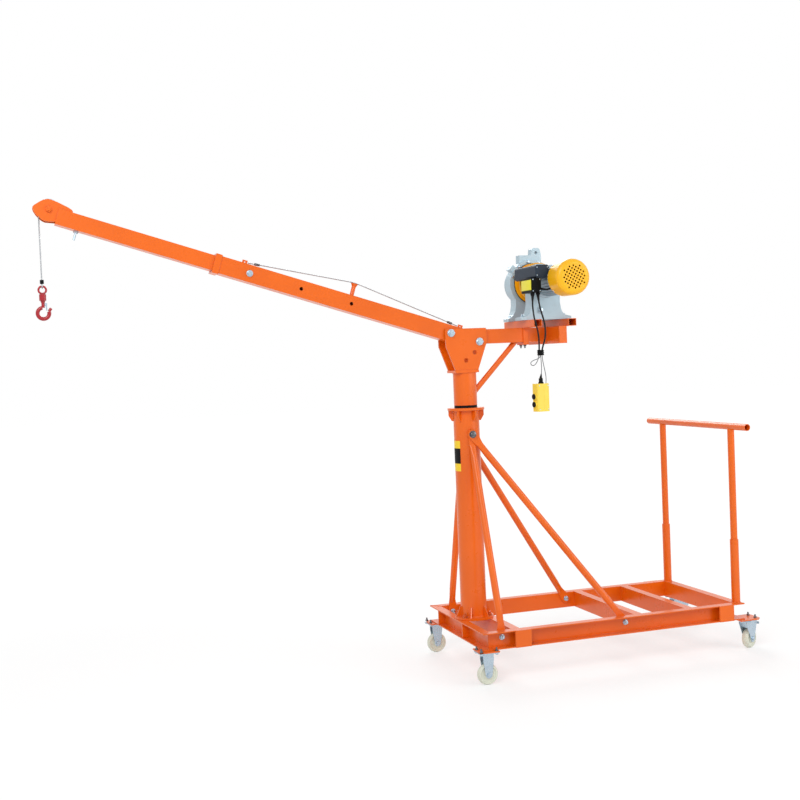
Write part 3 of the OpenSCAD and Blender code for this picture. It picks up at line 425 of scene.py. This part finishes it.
def cylinder(radius, depth, base=0.0, sides=32):
    clear_selection()
    middle = (0, 0, base + depth / 2)
    bpy.ops.mesh.primitive_cylinder_add(vertices=sides, radius=radius, depth=depth, location=middle)
    return settle(bpy.context.object)


def block(low, high):
    clear_selection()
    size = Vector(high) - Vector(low)
    bpy.ops.mesh.primitive_cube_add(size=1, location=(Vector(low) + Vector(high)) / 2)
    bpy.context.object.scale = size
    return settle(bpy.context.object)


def hex_bolt(size, tail=0.0):
    """Washer, six-sided head and, if asked, the bolt's end beyond a nut. Sizes in metres."""
    head = size * 0.65
    seat = size * 0.17
    parts = [bevel_edges(cylinder(size * 1.12, seat, 0, 32), size * 0.04, 1)]
    nut = cylinder(size * 0.93, head, seat, 6)
    bpy.ops.object.mode_set(mode="EDIT")
    bpy.ops.mesh.select_all(action="DESELECT")
    bpy.ops.mesh.select_mode(type="FACE")
    bpy.ops.object.mode_set(mode="OBJECT")
    top = max(nut.data.polygons, key=lambda face: face.center.z)
    top.select = True
    bpy.ops.object.mode_set(mode="EDIT")
    bpy.ops.mesh.inset(thickness=size * 0.13)
    bpy.ops.transform.translate(value=(0, 0, size * 0.07))
    bpy.ops.object.mode_set(mode="OBJECT")
    parts.append(bevel_edges(nut, size * 0.03, 2))
    if tail:
        parts.append(bevel_edges(cylinder(size * 0.5, tail, seat + head, 20), size * 0.06, 2))
    return join(parts, "bolt")


def scatter(proto, places, name, body, slot, material=None):
    """Copies of one shape at several places, joined into one piece."""
    copies = [own_copy(proto, matrix) for matrix in places]
    ready(join(copies, name), body, slot, material)


def bar_curve(name, points, radius, resolution, radii=None, closed=False):
    """A round bar along points, as a curve."""
    curve = bpy.data.curves.new(name, "CURVE")
    curve.dimensions = "3D"
    curve.bevel_depth = radius
    curve.bevel_resolution = resolution
    curve.use_fill_caps = not closed
    spline = curve.splines.new("POLY")
    spline.points.add(len(points) - 1)
    for index, point in enumerate(points):
        spline.points[index].co = (*point, 1)
        if radii:
            spline.points[index].radius = radii[index]
    spline.use_cyclic_u = closed
    piece = bpy.data.objects.new(name, curve)
    bpy.context.scene.collection.objects.link(piece)
    return piece


def tube_piece(name, points, radius, sides=8, radii=None, closed=False):
    """A round bar along points, as a mesh with its seams closed."""
    piece = bar_curve(name, points, radius, sides // 4 - 1, radii, closed)
    clear_selection()
    piece.select_set(True)
    bpy.context.view_layer.objects.active = piece
    bpy.ops.object.convert(target="MESH")
    bpy.ops.object.mode_set(mode="EDIT")
    bpy.ops.mesh.select_all(action="SELECT")
    bpy.ops.mesh.remove_doubles(threshold=0.00001)
    bpy.ops.object.mode_set(mode="OBJECT")
    return bpy.context.view_layer.objects.active


def polar(radius, degrees):
    """The two legs of a radius at an angle."""
    return radius * math.cos(math.radians(degrees)), radius * math.sin(math.radians(degrees))


def ring_points(centre, normal, radius, count):
    """Points evenly round a circle in metres, square to a direction."""
    turn = facing(centre, normal)
    return [turn @ Vector((*polar(radius, 360 * k / count), 0)) for k in range(count)]


def weld_bead(points, radius, closed=False):
    """A hand-laid weld: a thin bar whose width ripples along its length."""
    fine = []
    ends = list(points) + ([points[0]] if closed else [])
    for a, b in zip(ends, ends[1:]):
        steps = max(1, round((Vector(b) - Vector(a)).length / 0.0018))
        fine += [Vector(a).lerp(Vector(b), k / steps) for k in range(steps)]
    if not closed:
        fine.append(Vector(points[-1]))
    radii = [1.0 + 0.16 * math.sin(k * 1.9) + 0.08 * math.sin(k * 0.37) for k in range(len(fine))]
    return tube_piece("bead", fine, radius, 8, radii, closed)


def ring_bead(centre, normal, ring_radius, count, radius):
    return weld_bead(ring_points(centre, normal, ring_radius, count), radius, True)


# ---------- cables ----------


def smooth_route(route, steps=8):
    """The route's points in metres, joined by one smooth curve through all of them."""
    points = [at(*p) for p in route]
    ends = [2 * points[0] - points[1]] + points + [2 * points[-1] - points[-2]]
    fine = []
    for k in range(1, len(ends) - 2):
        a, b, c, d = ends[k - 1 : k + 3]
        for step in range(steps):
            t = step / steps
            bend = (2 * a - 5 * b + 4 * c - d) * t * t
            twist = (3 * b - a - 3 * c + d) * t**3
            fine.append(0.5 * (2 * b + (c - a) * t + bend + twist))
    fine.append(points[-1])
    return fine


def hang_cable(name, route, diameter, node_names, slot):
    points = smooth_route(route)
    piece = bar_curve(name, points, diameter / 2, 3)
    piece.data.materials.append(finishes[slot])
    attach(piece, "mast")
    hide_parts(*node_names)


LEFT_ROUTE = [
    (252, -276, 1794), (251, -277, 1776), (250, -278, 1750), (251, -279, 1724), (254, -279, 1700),
    (259, -279, 1676), (266, -278, 1652), (272, -277, 1628), (276, -276, 1600), (277, -276, 1570),
    (276, -276, 1538),
]
RIGHT_ROUTE = [
    (280, -278, 1794), (281, -279, 1776), (284, -281, 1750), (289, -284, 1722), (296, -287, 1694),
    (302, -289, 1664), (305, -290, 1634), (304, -290, 1606), (299, -288, 1578), (292, -286, 1556),
    (287, -285, 1538),
]
WIRE_ROUTE = [(281, -280, 1512), (282, -280, 1490), (283, -280, 1465), (282, -280, 1435), (276, -282, 1404)]
SIDE_WIRE_ROUTE = [
    (289, -278, 1512), (291, -278, 1490), (296, -279, 1460), (301, -281, 1430), (303, -283, 1404),
    (301, -284, 1379),
]
LOOP_ROUTE = [
    (274, -286, 1512), (272, -288, 1504), (264, -290, 1498), (252, -292, 1494), (238, -293, 1490),
    (227, -293, 1484), (223, -291, 1476), (229, -288, 1468), (241, -284, 1466), (253, -280, 1472),
    (263, -276, 1483), (270, -274, 1496), (273, -273, 1512),
]
hang_cable("control_cable_left", LEFT_ROUTE, 0.008, ["left_cable"], "cable_rubber")
hang_cable("control_cable_right", RIGHT_ROUTE, 0.008, ["right_cable"], "cable_rubber")
hang_cable("pendant_lead", WIRE_ROUTE, 0.0035, ["pendant_wire"], "thin_wire")
hang_cable("pendant_side_lead", SIDE_WIRE_ROUTE, 0.0035, ["side_wires"], "thin_wire")
hang_cable("spare_wire_loop", LOOP_ROUTE, 0.0035, ["side_wires"], "thin_wire")

# ---------- studio ----------


def background_rays(tree):
    """1 on the rays that should see a white background, and 0 on those that light the crane."""
    rays = put(tree, "ShaderNodeLightPath").outputs
    mirrored = math_node(tree, "MAXIMUM", rays["Is Camera Ray"], rays["Is Glossy Ray"])
    return math_node(tree, "MAXIMUM", mirrored, rays["Is Transmission Ray"])


def make_floor():
    clear_selection()
    bpy.ops.mesh.primitive_plane_add(size=60, location=(0, 0, 0))
    floor = bpy.context.object
    floor.name = "studio_floor"
    made, tree, shader = start_material("pale_floor")
    shader.inputs["Base Color"].default_value = (0.93, 0.93, 0.93, 1)
    shader.inputs["Roughness"].default_value = 0.9
    where = put(tree, "ShaderNodeTexCoord").outputs["Object"]
    away = put(tree, "ShaderNodeVectorMath", {0: where}, operation="LENGTH").outputs["Value"]
    span = {"Value": away, "From Min": 1.6, "From Max": 4.5, "To Min": 0.54, "To Max": 1.0}
    share = put(tree, "ShaderNodeMapRange", span, interpolation_type="SMOOTHSTEP").outputs[0]
    glow = put(tree, "ShaderNodeEmission", {"Color": (1, 1, 1, 1), "Strength": 1.06})
    factor = math_node(tree, "MULTIPLY", background_rays(tree), share)
    mixed = put(tree, "ShaderNodeMixShader", {0: factor, 1: shader.outputs[0], 2: glow.outputs[0]})
    tree.links.new(mixed.outputs[0], tree.nodes["Material Output"].inputs["Surface"])
    floor.data.materials.append(made)


def make_sky():
    world = bpy.context.scene.world or bpy.data.worlds.new("studio")
    bpy.context.scene.world = world
    world.use_nodes = True
    tree = world.node_tree
    tree.nodes.clear()
    strength = math_node(tree, "MULTIPLY_ADD", background_rays(tree), 0.45, 0.55)
    sky = put(tree, "ShaderNodeBackground", {"Color": (1, 1, 1, 1), "Strength": strength})
    out = tree.nodes.new("ShaderNodeOutputWorld")
    tree.links.new(sky.outputs[0], out.inputs["Surface"])


def make_lamps():
    middle = Vector((0, 0, 1.1))
    for name, place, size, power in (
        ("key_light", (-3.2, -4.6, 4.8), 3.0, 190),
        ("fill_light", (4.5, -4.0, 2.8), 3.5, 95),
        ("back_light", (1.5, 4.5, 4.2), 3.0, 120),
    ):
        clear_selection()
        bpy.ops.object.light_add(type="AREA", location=place)
        lamp = bpy.context.object
        lamp.name = name
        lamp.data.size = size
        lamp.data.energy = power
        lamp.rotation_euler = (middle - Vector(place)).to_track_quat("-Z", "Y").to_euler()


make_floor()
make_sky()
make_lamps()
bpy.context.scene.view_settings.view_transform = "Standard"

# ---------- base and column fittings ----------

FRAME_TOP, FRAME_BOTTOM = 240, 160
WEB_Y, WEB_WALL = 322, 5
FRONT_CASTER, REAR_CASTER = (-79, 345), (1325, 328)
UP, DOWN = Vector((0, 0, 1)), Vector((0, 0, -1))
LEFT, RIGHT = Vector((0, -1, 0)), Vector((0, 1, 0))
BACK = Vector((1, 0, 0))


def outward(side):
    """Square to the crane's long plane, towards the side of that sign."""
    return Vector((0, side, 0))



m12 = hex_bolt(0.012, tail=0.009)
m16 = hex_bolt(0.016, tail=0.007)
m8 = hex_bolt(0.008, tail=0.010)
m8_head = hex_bolt(0.008)
m10 = hex_bolt(0.010, tail=0.008)


def frame_bolts():
    bolt_circle, foot_top = 80, 252
    foot = [facing(at(*polar(bolt_circle, a), foot_top), UP, a) for a in (35, 145, 215, 325)]
    scatter(m12, foot, "column_foot_bolts", "base", "frame_paint", painted_bolt)
    lug_face, lug_height = 79, 1144
    tops = [facing(at(0, side * lug_face, lug_height), outward(side), 0.3) for side in (-1, 1)]
    scatter(m16, tops, "brace_top_bolts", "base", "zinc_plate", dark_steel)
    foot_height, bracket_face = 208, 315.9
    feet = []
    for side in (-1, 1):
        for x in (8, 654):
            feet.append(facing(at(x, side * (WEB_Y + WEB_WALL), foot_height), outward(side), 0.2))
            feet.append(facing(at(x, side * bracket_face, foot_height), outward(-side), 0.5))
    scatter(m12, feet, "brace_foot_bolts", "base", "zinc_plate")


def caster_bolts():
    """Nuts where the frame leaves the plate's top free, and four heads under every caster plate."""
    plate_under, hole = 150, 38
    nuts = []
    for side in (-1, 1):
        x, y = FRONT_CASTER
        for dx, dy in ((-hole, 30), (-hole, -30), (hole, 30)):
            nuts.append(facing(at(x + dx, side * (y + dy), FRAME_BOTTOM), UP, dx))
        x, y = REAR_CASTER
        for dy in (-30, 30):
            nuts.append(facing(at(x + hole, side * (y + dy), FRAME_BOTTOM), UP, dy))
    scatter(m8, nuts, "caster_plate_nuts", "base", "zinc_plate", dark_steel)
    heads = []
    for side in (-1, 1):
        for x, y in (FRONT_CASTER, REAR_CASTER):
            for dx in (-hole, hole):
                for dy in (-32, 32):
                    heads.append(facing(at(x + dx, side * (y + dy), plate_under), DOWN, dx))
    scatter(m8_head, heads, "caster_plate_bolts", "base", "zinc_plate")


frame_bolts()
caster_bolts()


def washer(inner, outer, thick):
    """A flat washer with a rounded rim: a disc bored through."""
    piece = cylinder(outer, thick, 0, 40)
    bore = cylinder(inner, thick * 3, -thick, 40)
    cut = piece.modifiers.new("bore", "BOOLEAN")
    cut.operation = "DIFFERENCE"
    cut.object = bore
    clear_selection()
    bpy.context.view_layer.objects.active = piece
    bpy.ops.object.modifier_apply(modifier="bore")
    bpy.data.objects.remove(bore)
    return bevel_edges(piece, thick * 0.25, 2)


def cheek_washers():
    ring = washer(0.0102, 0.0188, 0.0018)
    cheek_face, upper_bolt, lower_bolt = 55, (-82, 1637), (63.9, 1591)
    places = []
    for side in (-1, 1):
        for x, z in (upper_bolt, lower_bolt):
            places.append(facing(at(x, side * cheek_face, z), outward(side)))
    scatter(ring, places, "cheek_washers", "mast", "zinc_plate")
    small = washer(0.0082, 0.0152, 0.0016)
    bolt_along, tube_face = 1011, 40
    places = [facing(on_boom(bolt_along, side * tube_face, 0), outward(side)) for side in (-1, 1)]
    scatter(small, places, "extension_bolt_washers", "outer_boom", "zinc_plate")
    bpy.data.objects.remove(ring)
    bpy.data.objects.remove(small)


cheek_washers()


def beside_radius(degrees, out, aside, z):
    """A point out from the mast's axis at an angle and aside of that radius, in millimetres."""
    x, y = polar(out, degrees)
    dx, dy = polar(aside, degrees + 90)
    return at(x + dx, y + dy, z)


def base_welds():
    foot_seam, flange_seam, tube_seam = 252.5, 1259.5, 0.0645
    beads = [
        ring_bead(at(0, 0, foot_seam), UP, tube_seam, 60, 0.0032),
        ring_bead(at(0, 0, flange_seam), UP, tube_seam, 60, 0.0030),
    ]
    rib_face = 3.6
    for a in range(0, 360, 60):
        for side in (-1, 1):
            upright = [beside_radius(a, 64.5, side * rib_face, z) for z in (254, 298)]
            level = [beside_radius(a, r, side * rib_face, 252.6) for r in (67, 91)]
            beads += [weld_bead(upright, 0.0020), weld_bead(level, 0.0020)]
    web_inside, clamp_outside = 321.4, 366
    for side in (-1, 1):
        beads.append(ring_bead(at(1278.5, side * 324, FRAME_TOP + 0.4), UP, 0.0218, 36, 0.0024))
        for x, lean in ((-100, 1), (1300, -1)):
            outer = at(x + lean * 1.5, side * 363.5, FRAME_TOP + 0.2)
            inner = at(x + lean * 43, side * WEB_Y, FRAME_TOP + 0.2)
            beads.append(weld_bead([outer, inner], 0.0019))
        for x in (57, 704, 985):
            for dx in (0, 43):
                run = [at(x + dx, side * web_inside, z) for z in (FRAME_TOP - 4, FRAME_BOTTOM + 4)]
                beads.append(weld_bead(run, 0.0018))
        for x in (60, 1155):
            for dx in (0, 80):
                run = [at(x + dx, side * clamp_outside, z) for z in (FRAME_BOTTOM + 3, FRAME_TOP - 3)]
                beads.append(weld_bead(run, 0.0019))
    ready(join(beads, "frame_weld_beads"), "base", "frame_paint")


def wrapped_patch(name, radius, low, high, width, slot, material=None):
    """A thin plain sticker wrapped round the front of the column, from one height to another."""
    clear_selection()
    bpy.ops.mesh.primitive_grid_add(x_subdivisions=24, y_subdivisions=4, size=1)
    patch = bpy.context.object
    patch.name = name
    for corner in patch.data.vertices:
        angle = math.pi + corner.co.x * width / radius
        height = low + (corner.co.y + 0.5) * (high - low)
        corner.co = at(radius * math.cos(angle), radius * math.sin(angle), height)
    patch.data.update()
    shell = patch.modifiers.new("film", "SOLIDIFY")
    shell.thickness = 0.0004
    shell.offset = 1
    bpy.ops.object.modifier_apply(modifier="film")
    ready(patch, "base", slot, material)


def column_sticker():
    """A black band between two yellow ends, with no lettering on it."""
    radius, width = 63.45, 79
    wrapped_patch("column_sticker_band", radius, 1002, 1076, width, "black_plastic")
    wrapped_patch("column_sticker_top", radius, 1076, 1113, width, "cowl_plastic", sticker_yellow)
    wrapped_patch("column_sticker_foot", radius, 965, 1002, width, "cowl_plastic", sticker_yellow)


column_sticker()


def mast_welds():
    beads = [ring_bead(at(0, 0, 1442.6), UP, 0.0582, 60, 0.0026)]
    for side in (-1, 1):
        beads.append(weld_bead([at(x, side * 55.6, 1455.6) for x in (-64, 50)], 0.0019))
        beads.append(weld_bead([at(102.5, side * 35.4, z) for z in (1582, 1648)], 0.0022))
        beads.append(weld_bead([at(x, side * 36, 1650.5) for x in (430, 471)], 0.0018))
        beads.append(weld_bead([at(430, side * 35.6, z) for z in (1570, 1648)], 0.0018))
    beads.append(weld_bead([at(103, y, 1650.3) for y in (-33, 33)], 0.0020))
    ready(join(beads, "mast_weld_beads"), "mast", "frame_paint")


def boom_welds():
    tube_end, half_tube = 1150.6, 40.4
    across = (-40, 40)
    beads = []
    for s in (1040, -56):
        for side in (-1, 1):
            beads.append(weld_bead([on_boom(s + ds, side * 3.4, 40.6) for ds in (-12, 12)], 0.0016))
    beads.append(ring_bead(on_boom(511, 0, half_tube), boom_up, 0.0104, 24, 0.0019))
    beads.append(weld_bead([on_boom(tube_end, y, half_tube) for y in across], 0.0020))
    for side in (-1, 1):
        beads.append(weld_bead([on_boom(tube_end, side * half_tube, n) for n in across], 0.0020))
    beads.append(weld_bead([on_boom(tube_end, y, -half_tube) for y in across], 0.0020))
    ready(join(beads, "boom_weld_beads"), "outer_boom", "frame_paint")
    beads = []
    for side in (-1, 1):
        beads.append(weld_bead([on_boom(s, side * 31.2, 34.6) for s in (1828, 1886)], 0.0018))
    ready(join(beads, "tip_weld_beads"), "inner_boom", "frame_paint")


base_welds()
mast_welds()
boom_welds()

# ---------- winch fittings ----------


def winch_ring(radius, y, normal, angles):
    """Places round the winch's axis, all facing one way."""
    places = []
    for a in angles:
        x, z = polar(radius, a)
        places.append(facing(on_winch(x, y, z), normal, a))
    return places


winch_bolts = [facing(on_winch(x, y, -172), UP, y) for x in (-115, 114) for y in (-60, 90)]
scatter(m10, winch_bolts, "winch_foot_bolts", "mast", "zinc_plate")
strap_bolts = [facing(at(316.5, y, 1567), DOWN) for y in (-24, 24)]
scatter(m8, strap_bolts, "strap_bolts", "mast", "zinc_plate", dark_steel)
cover_ring = winch_ring(68, 200, RIGHT, range(30, 390, 60))
scatter(m8_head, cover_ring, "gear_cover_bolts", "mast", "zinc_plate")
flange_ring = winch_ring(111, 55.8, LEFT, range(10, 190, 30))
scatter(m8_head, flange_ring, "gear_flange_bolts", "mast", "zinc_plate")


def turned_piece(profile, segments=48):
    """A shape turned about z, spun from a profile of radii and heights in millimetres."""
    clear_selection()
    bpy.ops.mesh.primitive_plane_add(size=1)
    piece = bpy.context.object
    mesh = piece.data
    mesh.clear_geometry()
    edges = [(k, k + 1) for k in range(len(profile) - 1)]
    mesh.from_pydata([(r * MM, 0, z * MM) for r, z in profile], edges, [])
    bpy.ops.object.mode_set(mode="EDIT")
    bpy.ops.mesh.select_all(action="SELECT")
    bpy.ops.mesh.spin(
        steps=segments, angle=2 * math.pi, center=(0, 0, 0), axis=(0, 0, 1), use_auto_merge=True
    )
    bpy.ops.mesh.select_all(action="SELECT")
    bpy.ops.mesh.remove_doubles(threshold=0.00001)
    bpy.ops.mesh.normals_make_consistent(inside=False)
    bpy.ops.object.mode_set(mode="OBJECT")
    return piece


def place(piece, matrix):
    piece.data.transform(matrix)
    return piece


def housing_details():
    boss = turned_piece([(0, 0), (34, 0), (34, 5), (31, 8), (20, 8.5), (18, 5), (9, 5), (7, 9), (0, 9.5)])
    ready(place(boss, facing(on_winch(0, 199.6, 0), RIGHT)), "mast", "cast_housing")
    boss.name = "gear_cover_boss"
    plug_x, plug_z = -31, -139
    plug = hex_bolt(0.013)
    seat = [facing(on_winch(plug_x, -96, plug_z), LEFT, 0.2)]
    scatter(plug, seat, "bell_drain_plug", "mast", "zinc_plate")
    bpy.data.objects.remove(plug)
    collar = turned_piece([(11, 0), (17, 0), (18, 1.2), (17, 3), (13, 3.4), (11, 3), (11, 0)])
    place(collar, facing(on_winch(plug_x, -95.9, plug_z), LEFT))
    ready(collar, "mast", "cast_housing")
    collar.name = "bell_plug_seat"


def cowl_screws():
    screw = turned_piece([(0, 3), (1.2, 3), (1.3, 1.9), (3.4, 2.2), (4.4, 1.4), (4.6, 0), (0, 0)], 20)
    cowl_y, cowl_radius = -313, 0.0849
    spots = []
    for a in (45, 135, 225, 315):
        x, z = polar(1, a)
        out = Vector((x, 0, z))
        spots.append(facing(on_winch(0, cowl_y, 0) + out * cowl_radius, out))
    scatter(screw, spots, "cowl_screws", "mast", "zinc_plate")
    bpy.data.objects.remove(screw)


def drum_edge():
    rim = ring_points(on_winch(0, 46.5, 0), RIGHT, 0.1006, 96)
    ready(tube_piece("drum_edge_ring", rim, 0.0024, 12, None, True), "winch_drum", "black_plastic")


def cooling_fan():
    """The fan behind the cowl's holes: a turned hub and back plate with upright blades."""
    hub = [(8, -14), (20, -14), (24, -10), (24, 14), (68, 17), (68, 19), (8, 19), (8, -14)]
    blades = 9
    parts = [turned_piece(hub, 48)]
    for k in range(blades):
        blade = block((-0.0009, 0.020, -0.016), (0.0009, 0.070, 0.018))
        bpy.ops.object.mode_set(mode="EDIT")
        bpy.ops.mesh.select_all(action="SELECT")
        bpy.ops.mesh.bevel(offset=0.0004, segments=1)
        bpy.ops.object.mode_set(mode="OBJECT")
        blade.data.transform(Matrix.Rotation(2 * math.pi * k / blades, 4, "Z"))
        parts.append(blade)
    fan = place(join(parts, "cooling_fan"), facing(on_winch(0, -352, 0), RIGHT))
    ready(fan, "mast", "black_plastic")


housing_details()
cowl_screws()
drum_edge()
cooling_fan()


def switch_box_details():
    for name, low, high, bevel, slot, material in (
        ("switch_box_plate", (240.6, -287, 1822), (242.2, -177, 1870), 0.0004, "cowl_plastic", plain_yellow),
        ("switch_box_lid", (245, -293, 1813), (289, -289.8, 1875), 0.0013, "black_plastic", None),
        ("capacitor_box_lid", (268, -292.4, 1886), (332, -289.8, 1932), 0.0012, "slate_plastic", None),
    ):
        panel = bevel_edges(block(at(*low), at(*high)), bevel, 3)
        panel.name = name
        ready(panel, "mast", slot, material)
    head = turned_piece([(0, 1.6), (2.2, 1.6), (2.9, 1.0), (3.0, 0), (0, 0)], 18)
    switch_lid_y, capacitor_lid_y = -293, -292.4
    spots = [facing(at(x, switch_lid_y, z), LEFT) for x in (249, 285) for z in (1817, 1871)]
    spots += [facing(at(x, capacitor_lid_y, z), LEFT) for x in (273, 327) for z in (1890, 1928)]
    scatter(head, spots, "box_screws", "mast", "zinc_plate")
    bpy.data.objects.remove(head)
    route = [
        at(291, -262, 1829), at(300, -262, 1828), at(320, -261, 1825),
        at(338, -259, 1824), at(352, -257, 1828), at(356, -256, 1834),
    ]
    pipe = tube_piece("motor_conduit", route, 0.0048, 16)
    ready(pipe, "mast", "cable_rubber")
    nut = turned_piece([(4.9, 0), (9, 0), (9.6, 1), (9.6, 7), (8, 9), (6, 11), (4.9, 12), (4.9, 0)], 24)
    seat = [facing(at(291.6, -262, 1829), BACK)]
    scatter(nut, seat, "conduit_gland", "mast", "black_plastic")
    bpy.data.objects.remove(nut)


switch_box_details()


def strain_relief(name, route, start_r, wire_r, length):
    """A ribbed rubber sleeve that tapers onto a cable."""
    profile = [(wire_r + 0.15, 0)]
    ribs, strand_groove_shade = 6, 0.9
    for k in range(ribs):
        r = start_r + (wire_r + 1.0 - start_r) * k / (ribs - 1)
        z = length * k / ribs
        profile += [(r, z), (r, z + length * 0.09)]
        profile += [(r - strand_groove_shade, z + length * 0.11), (r - strand_groove_shade, z + length / ribs - 0.2)]
    profile += [(wire_r + 0.5, length), (wire_r + 0.15, length), profile[0]]
    sleeve = turned_piece(profile, 28)
    sleeve.name = name
    start, ahead = at(*route[0]), at(*route[1])
    place(sleeve, facing(start, ahead - start))
    ready(sleeve, "mast", "cable_rubber")


strain_relief("left_cable_sleeve", LEFT_ROUTE, 7.2, 4, 24)
strain_relief("right_cable_sleeve", RIGHT_ROUTE, 6.8, 4, 24)
strain_relief("pendant_wire_sleeve", [WIRE_ROUTE[-1], WIRE_ROUTE[-2]], 7.0, 1.75, 22)


def cable_glands():
    nut = turned_piece([(8.6, 0), (10.4, 0), (11, 1), (11, 8), (10, 9.5), (8.6, 9.8), (8.6, 0)], 6)
    spots = [facing(at(x, y, 1799), UP) for x, y in ((252, -276), (280, -278))]
    scatter(nut, spots, "gland_nuts", "mast", "black_plastic")
    bpy.data.objects.remove(nut)
    flange = [(8.2, 0), (12.5, 0), (13, 1), (13, 4.5), (11.5, 6.5)]
    neck = [(9.8, 7), (9.8, 22), (9, 24.6), (8.2, 24.8), (8.2, 0)]
    cap = turned_piece(flange + neck, 28)
    seat = [facing(at(276, -282, 1379.1), UP)]
    scatter(cap, seat, "pendant_gland_cap", "mast", "black_plastic")
    bpy.data.objects.remove(cap)


cable_glands()


def tie_bands():
    parts = []
    for z in (1516, 1525, 1534):
        round_cables = ring_points(at(281, -280, z), UP, 0.0153, 40)
        parts.append(tube_piece("band", round_cables, 0.0016, 8, None, True))
    ready(join(parts, "cable_tie_bands"), "mast", "black_plastic")


tie_bands()


def handset_details():
    turn = Matrix.Rotation(math.radians(8), 4, "Z")
    base = Matrix.Translation(at(273, -284, 1247)) @ turn
    head = turned_piece([(0, 1.4), (2.0, 1.4), (2.6, 0.9), (2.8, 0), (0, 0)], 18)
    spots = []
    for x in (-24, 24):
        for z in (10, 122):
            spots.append(base @ facing(Vector((x * MM, -26 * MM, z * MM)), LEFT))
    scatter(head, spots, "handset_screws", "mast", "zinc_plate")
    bpy.data.objects.remove(head)
    seams = []
    for side in (-1, 1):
        run = [base @ (Vector((2, side * 26, z)) * MM) for z in (3, 129)]
        seams.append(tube_piece("seam", run, 0.0007, 8))
    ready(join(seams, "handset_seam"), "mast", "handset_plastic")


handset_details()

# ---------- stay and caster details ----------------


def stay_ferrules():
    foot, top = 49, 103.4
    low_a, low_b = on_boom(-41, 0, foot), on_boom(494, 0, top)
    high_a, high_b = on_boom(1025, 0, foot), on_boom(528, 0, top)
    sleeve = turned_piece([(2.6, 0), (5.2, 0.4), (6.0, 2), (6.0, 24), (5.2, 25.6), (2.6, 26), (2.6, 0)], 24)
    places = []
    for a, b in ((low_a, low_b), (high_a, high_b)):
        run = (b - a).normalized()
        places.append(facing(a + run * 0.03, run))
    scatter(sleeve, places, "stay_ferrules", "outer_boom", "zinc_plate", dark_steel)
    bpy.data.objects.remove(sleeve)


stay_ferrules()


def pedal_grips():
    for side, name, swivel in ((-1, "left", 28), (1, "right", 8)):
        x, y = REAR_CASTER
        turned = Matrix.Rotation(math.radians(swivel), 4, "Z")
        caster = Matrix.Translation(at(x, side * y, 0)) @ turned
        tilt = Matrix.Translation(Vector((65, 0, 123.7)) * MM) @ Matrix.Rotation(math.radians(12), 4, "Y")
        bars = []
        for x in (20, 28, 36, 44):
            bar = bevel_edges(block((x * MM, -0.0155, 0.0049), ((x + 3) * MM, 0.0155, 0.0064)), 0.0006, 2)
            bars.append(bar)
        grips = join(bars, "rear_%s_pedal_grips" % name)
        place(grips, caster @ tilt)
        ready(grips, "rear_%s_pedal" % name, "zinc_plate", dark_steel)


pedal_grips()

for extra in (m12, m16, m8, m8_head, m10):
    bpy.data.objects.remove(extra)
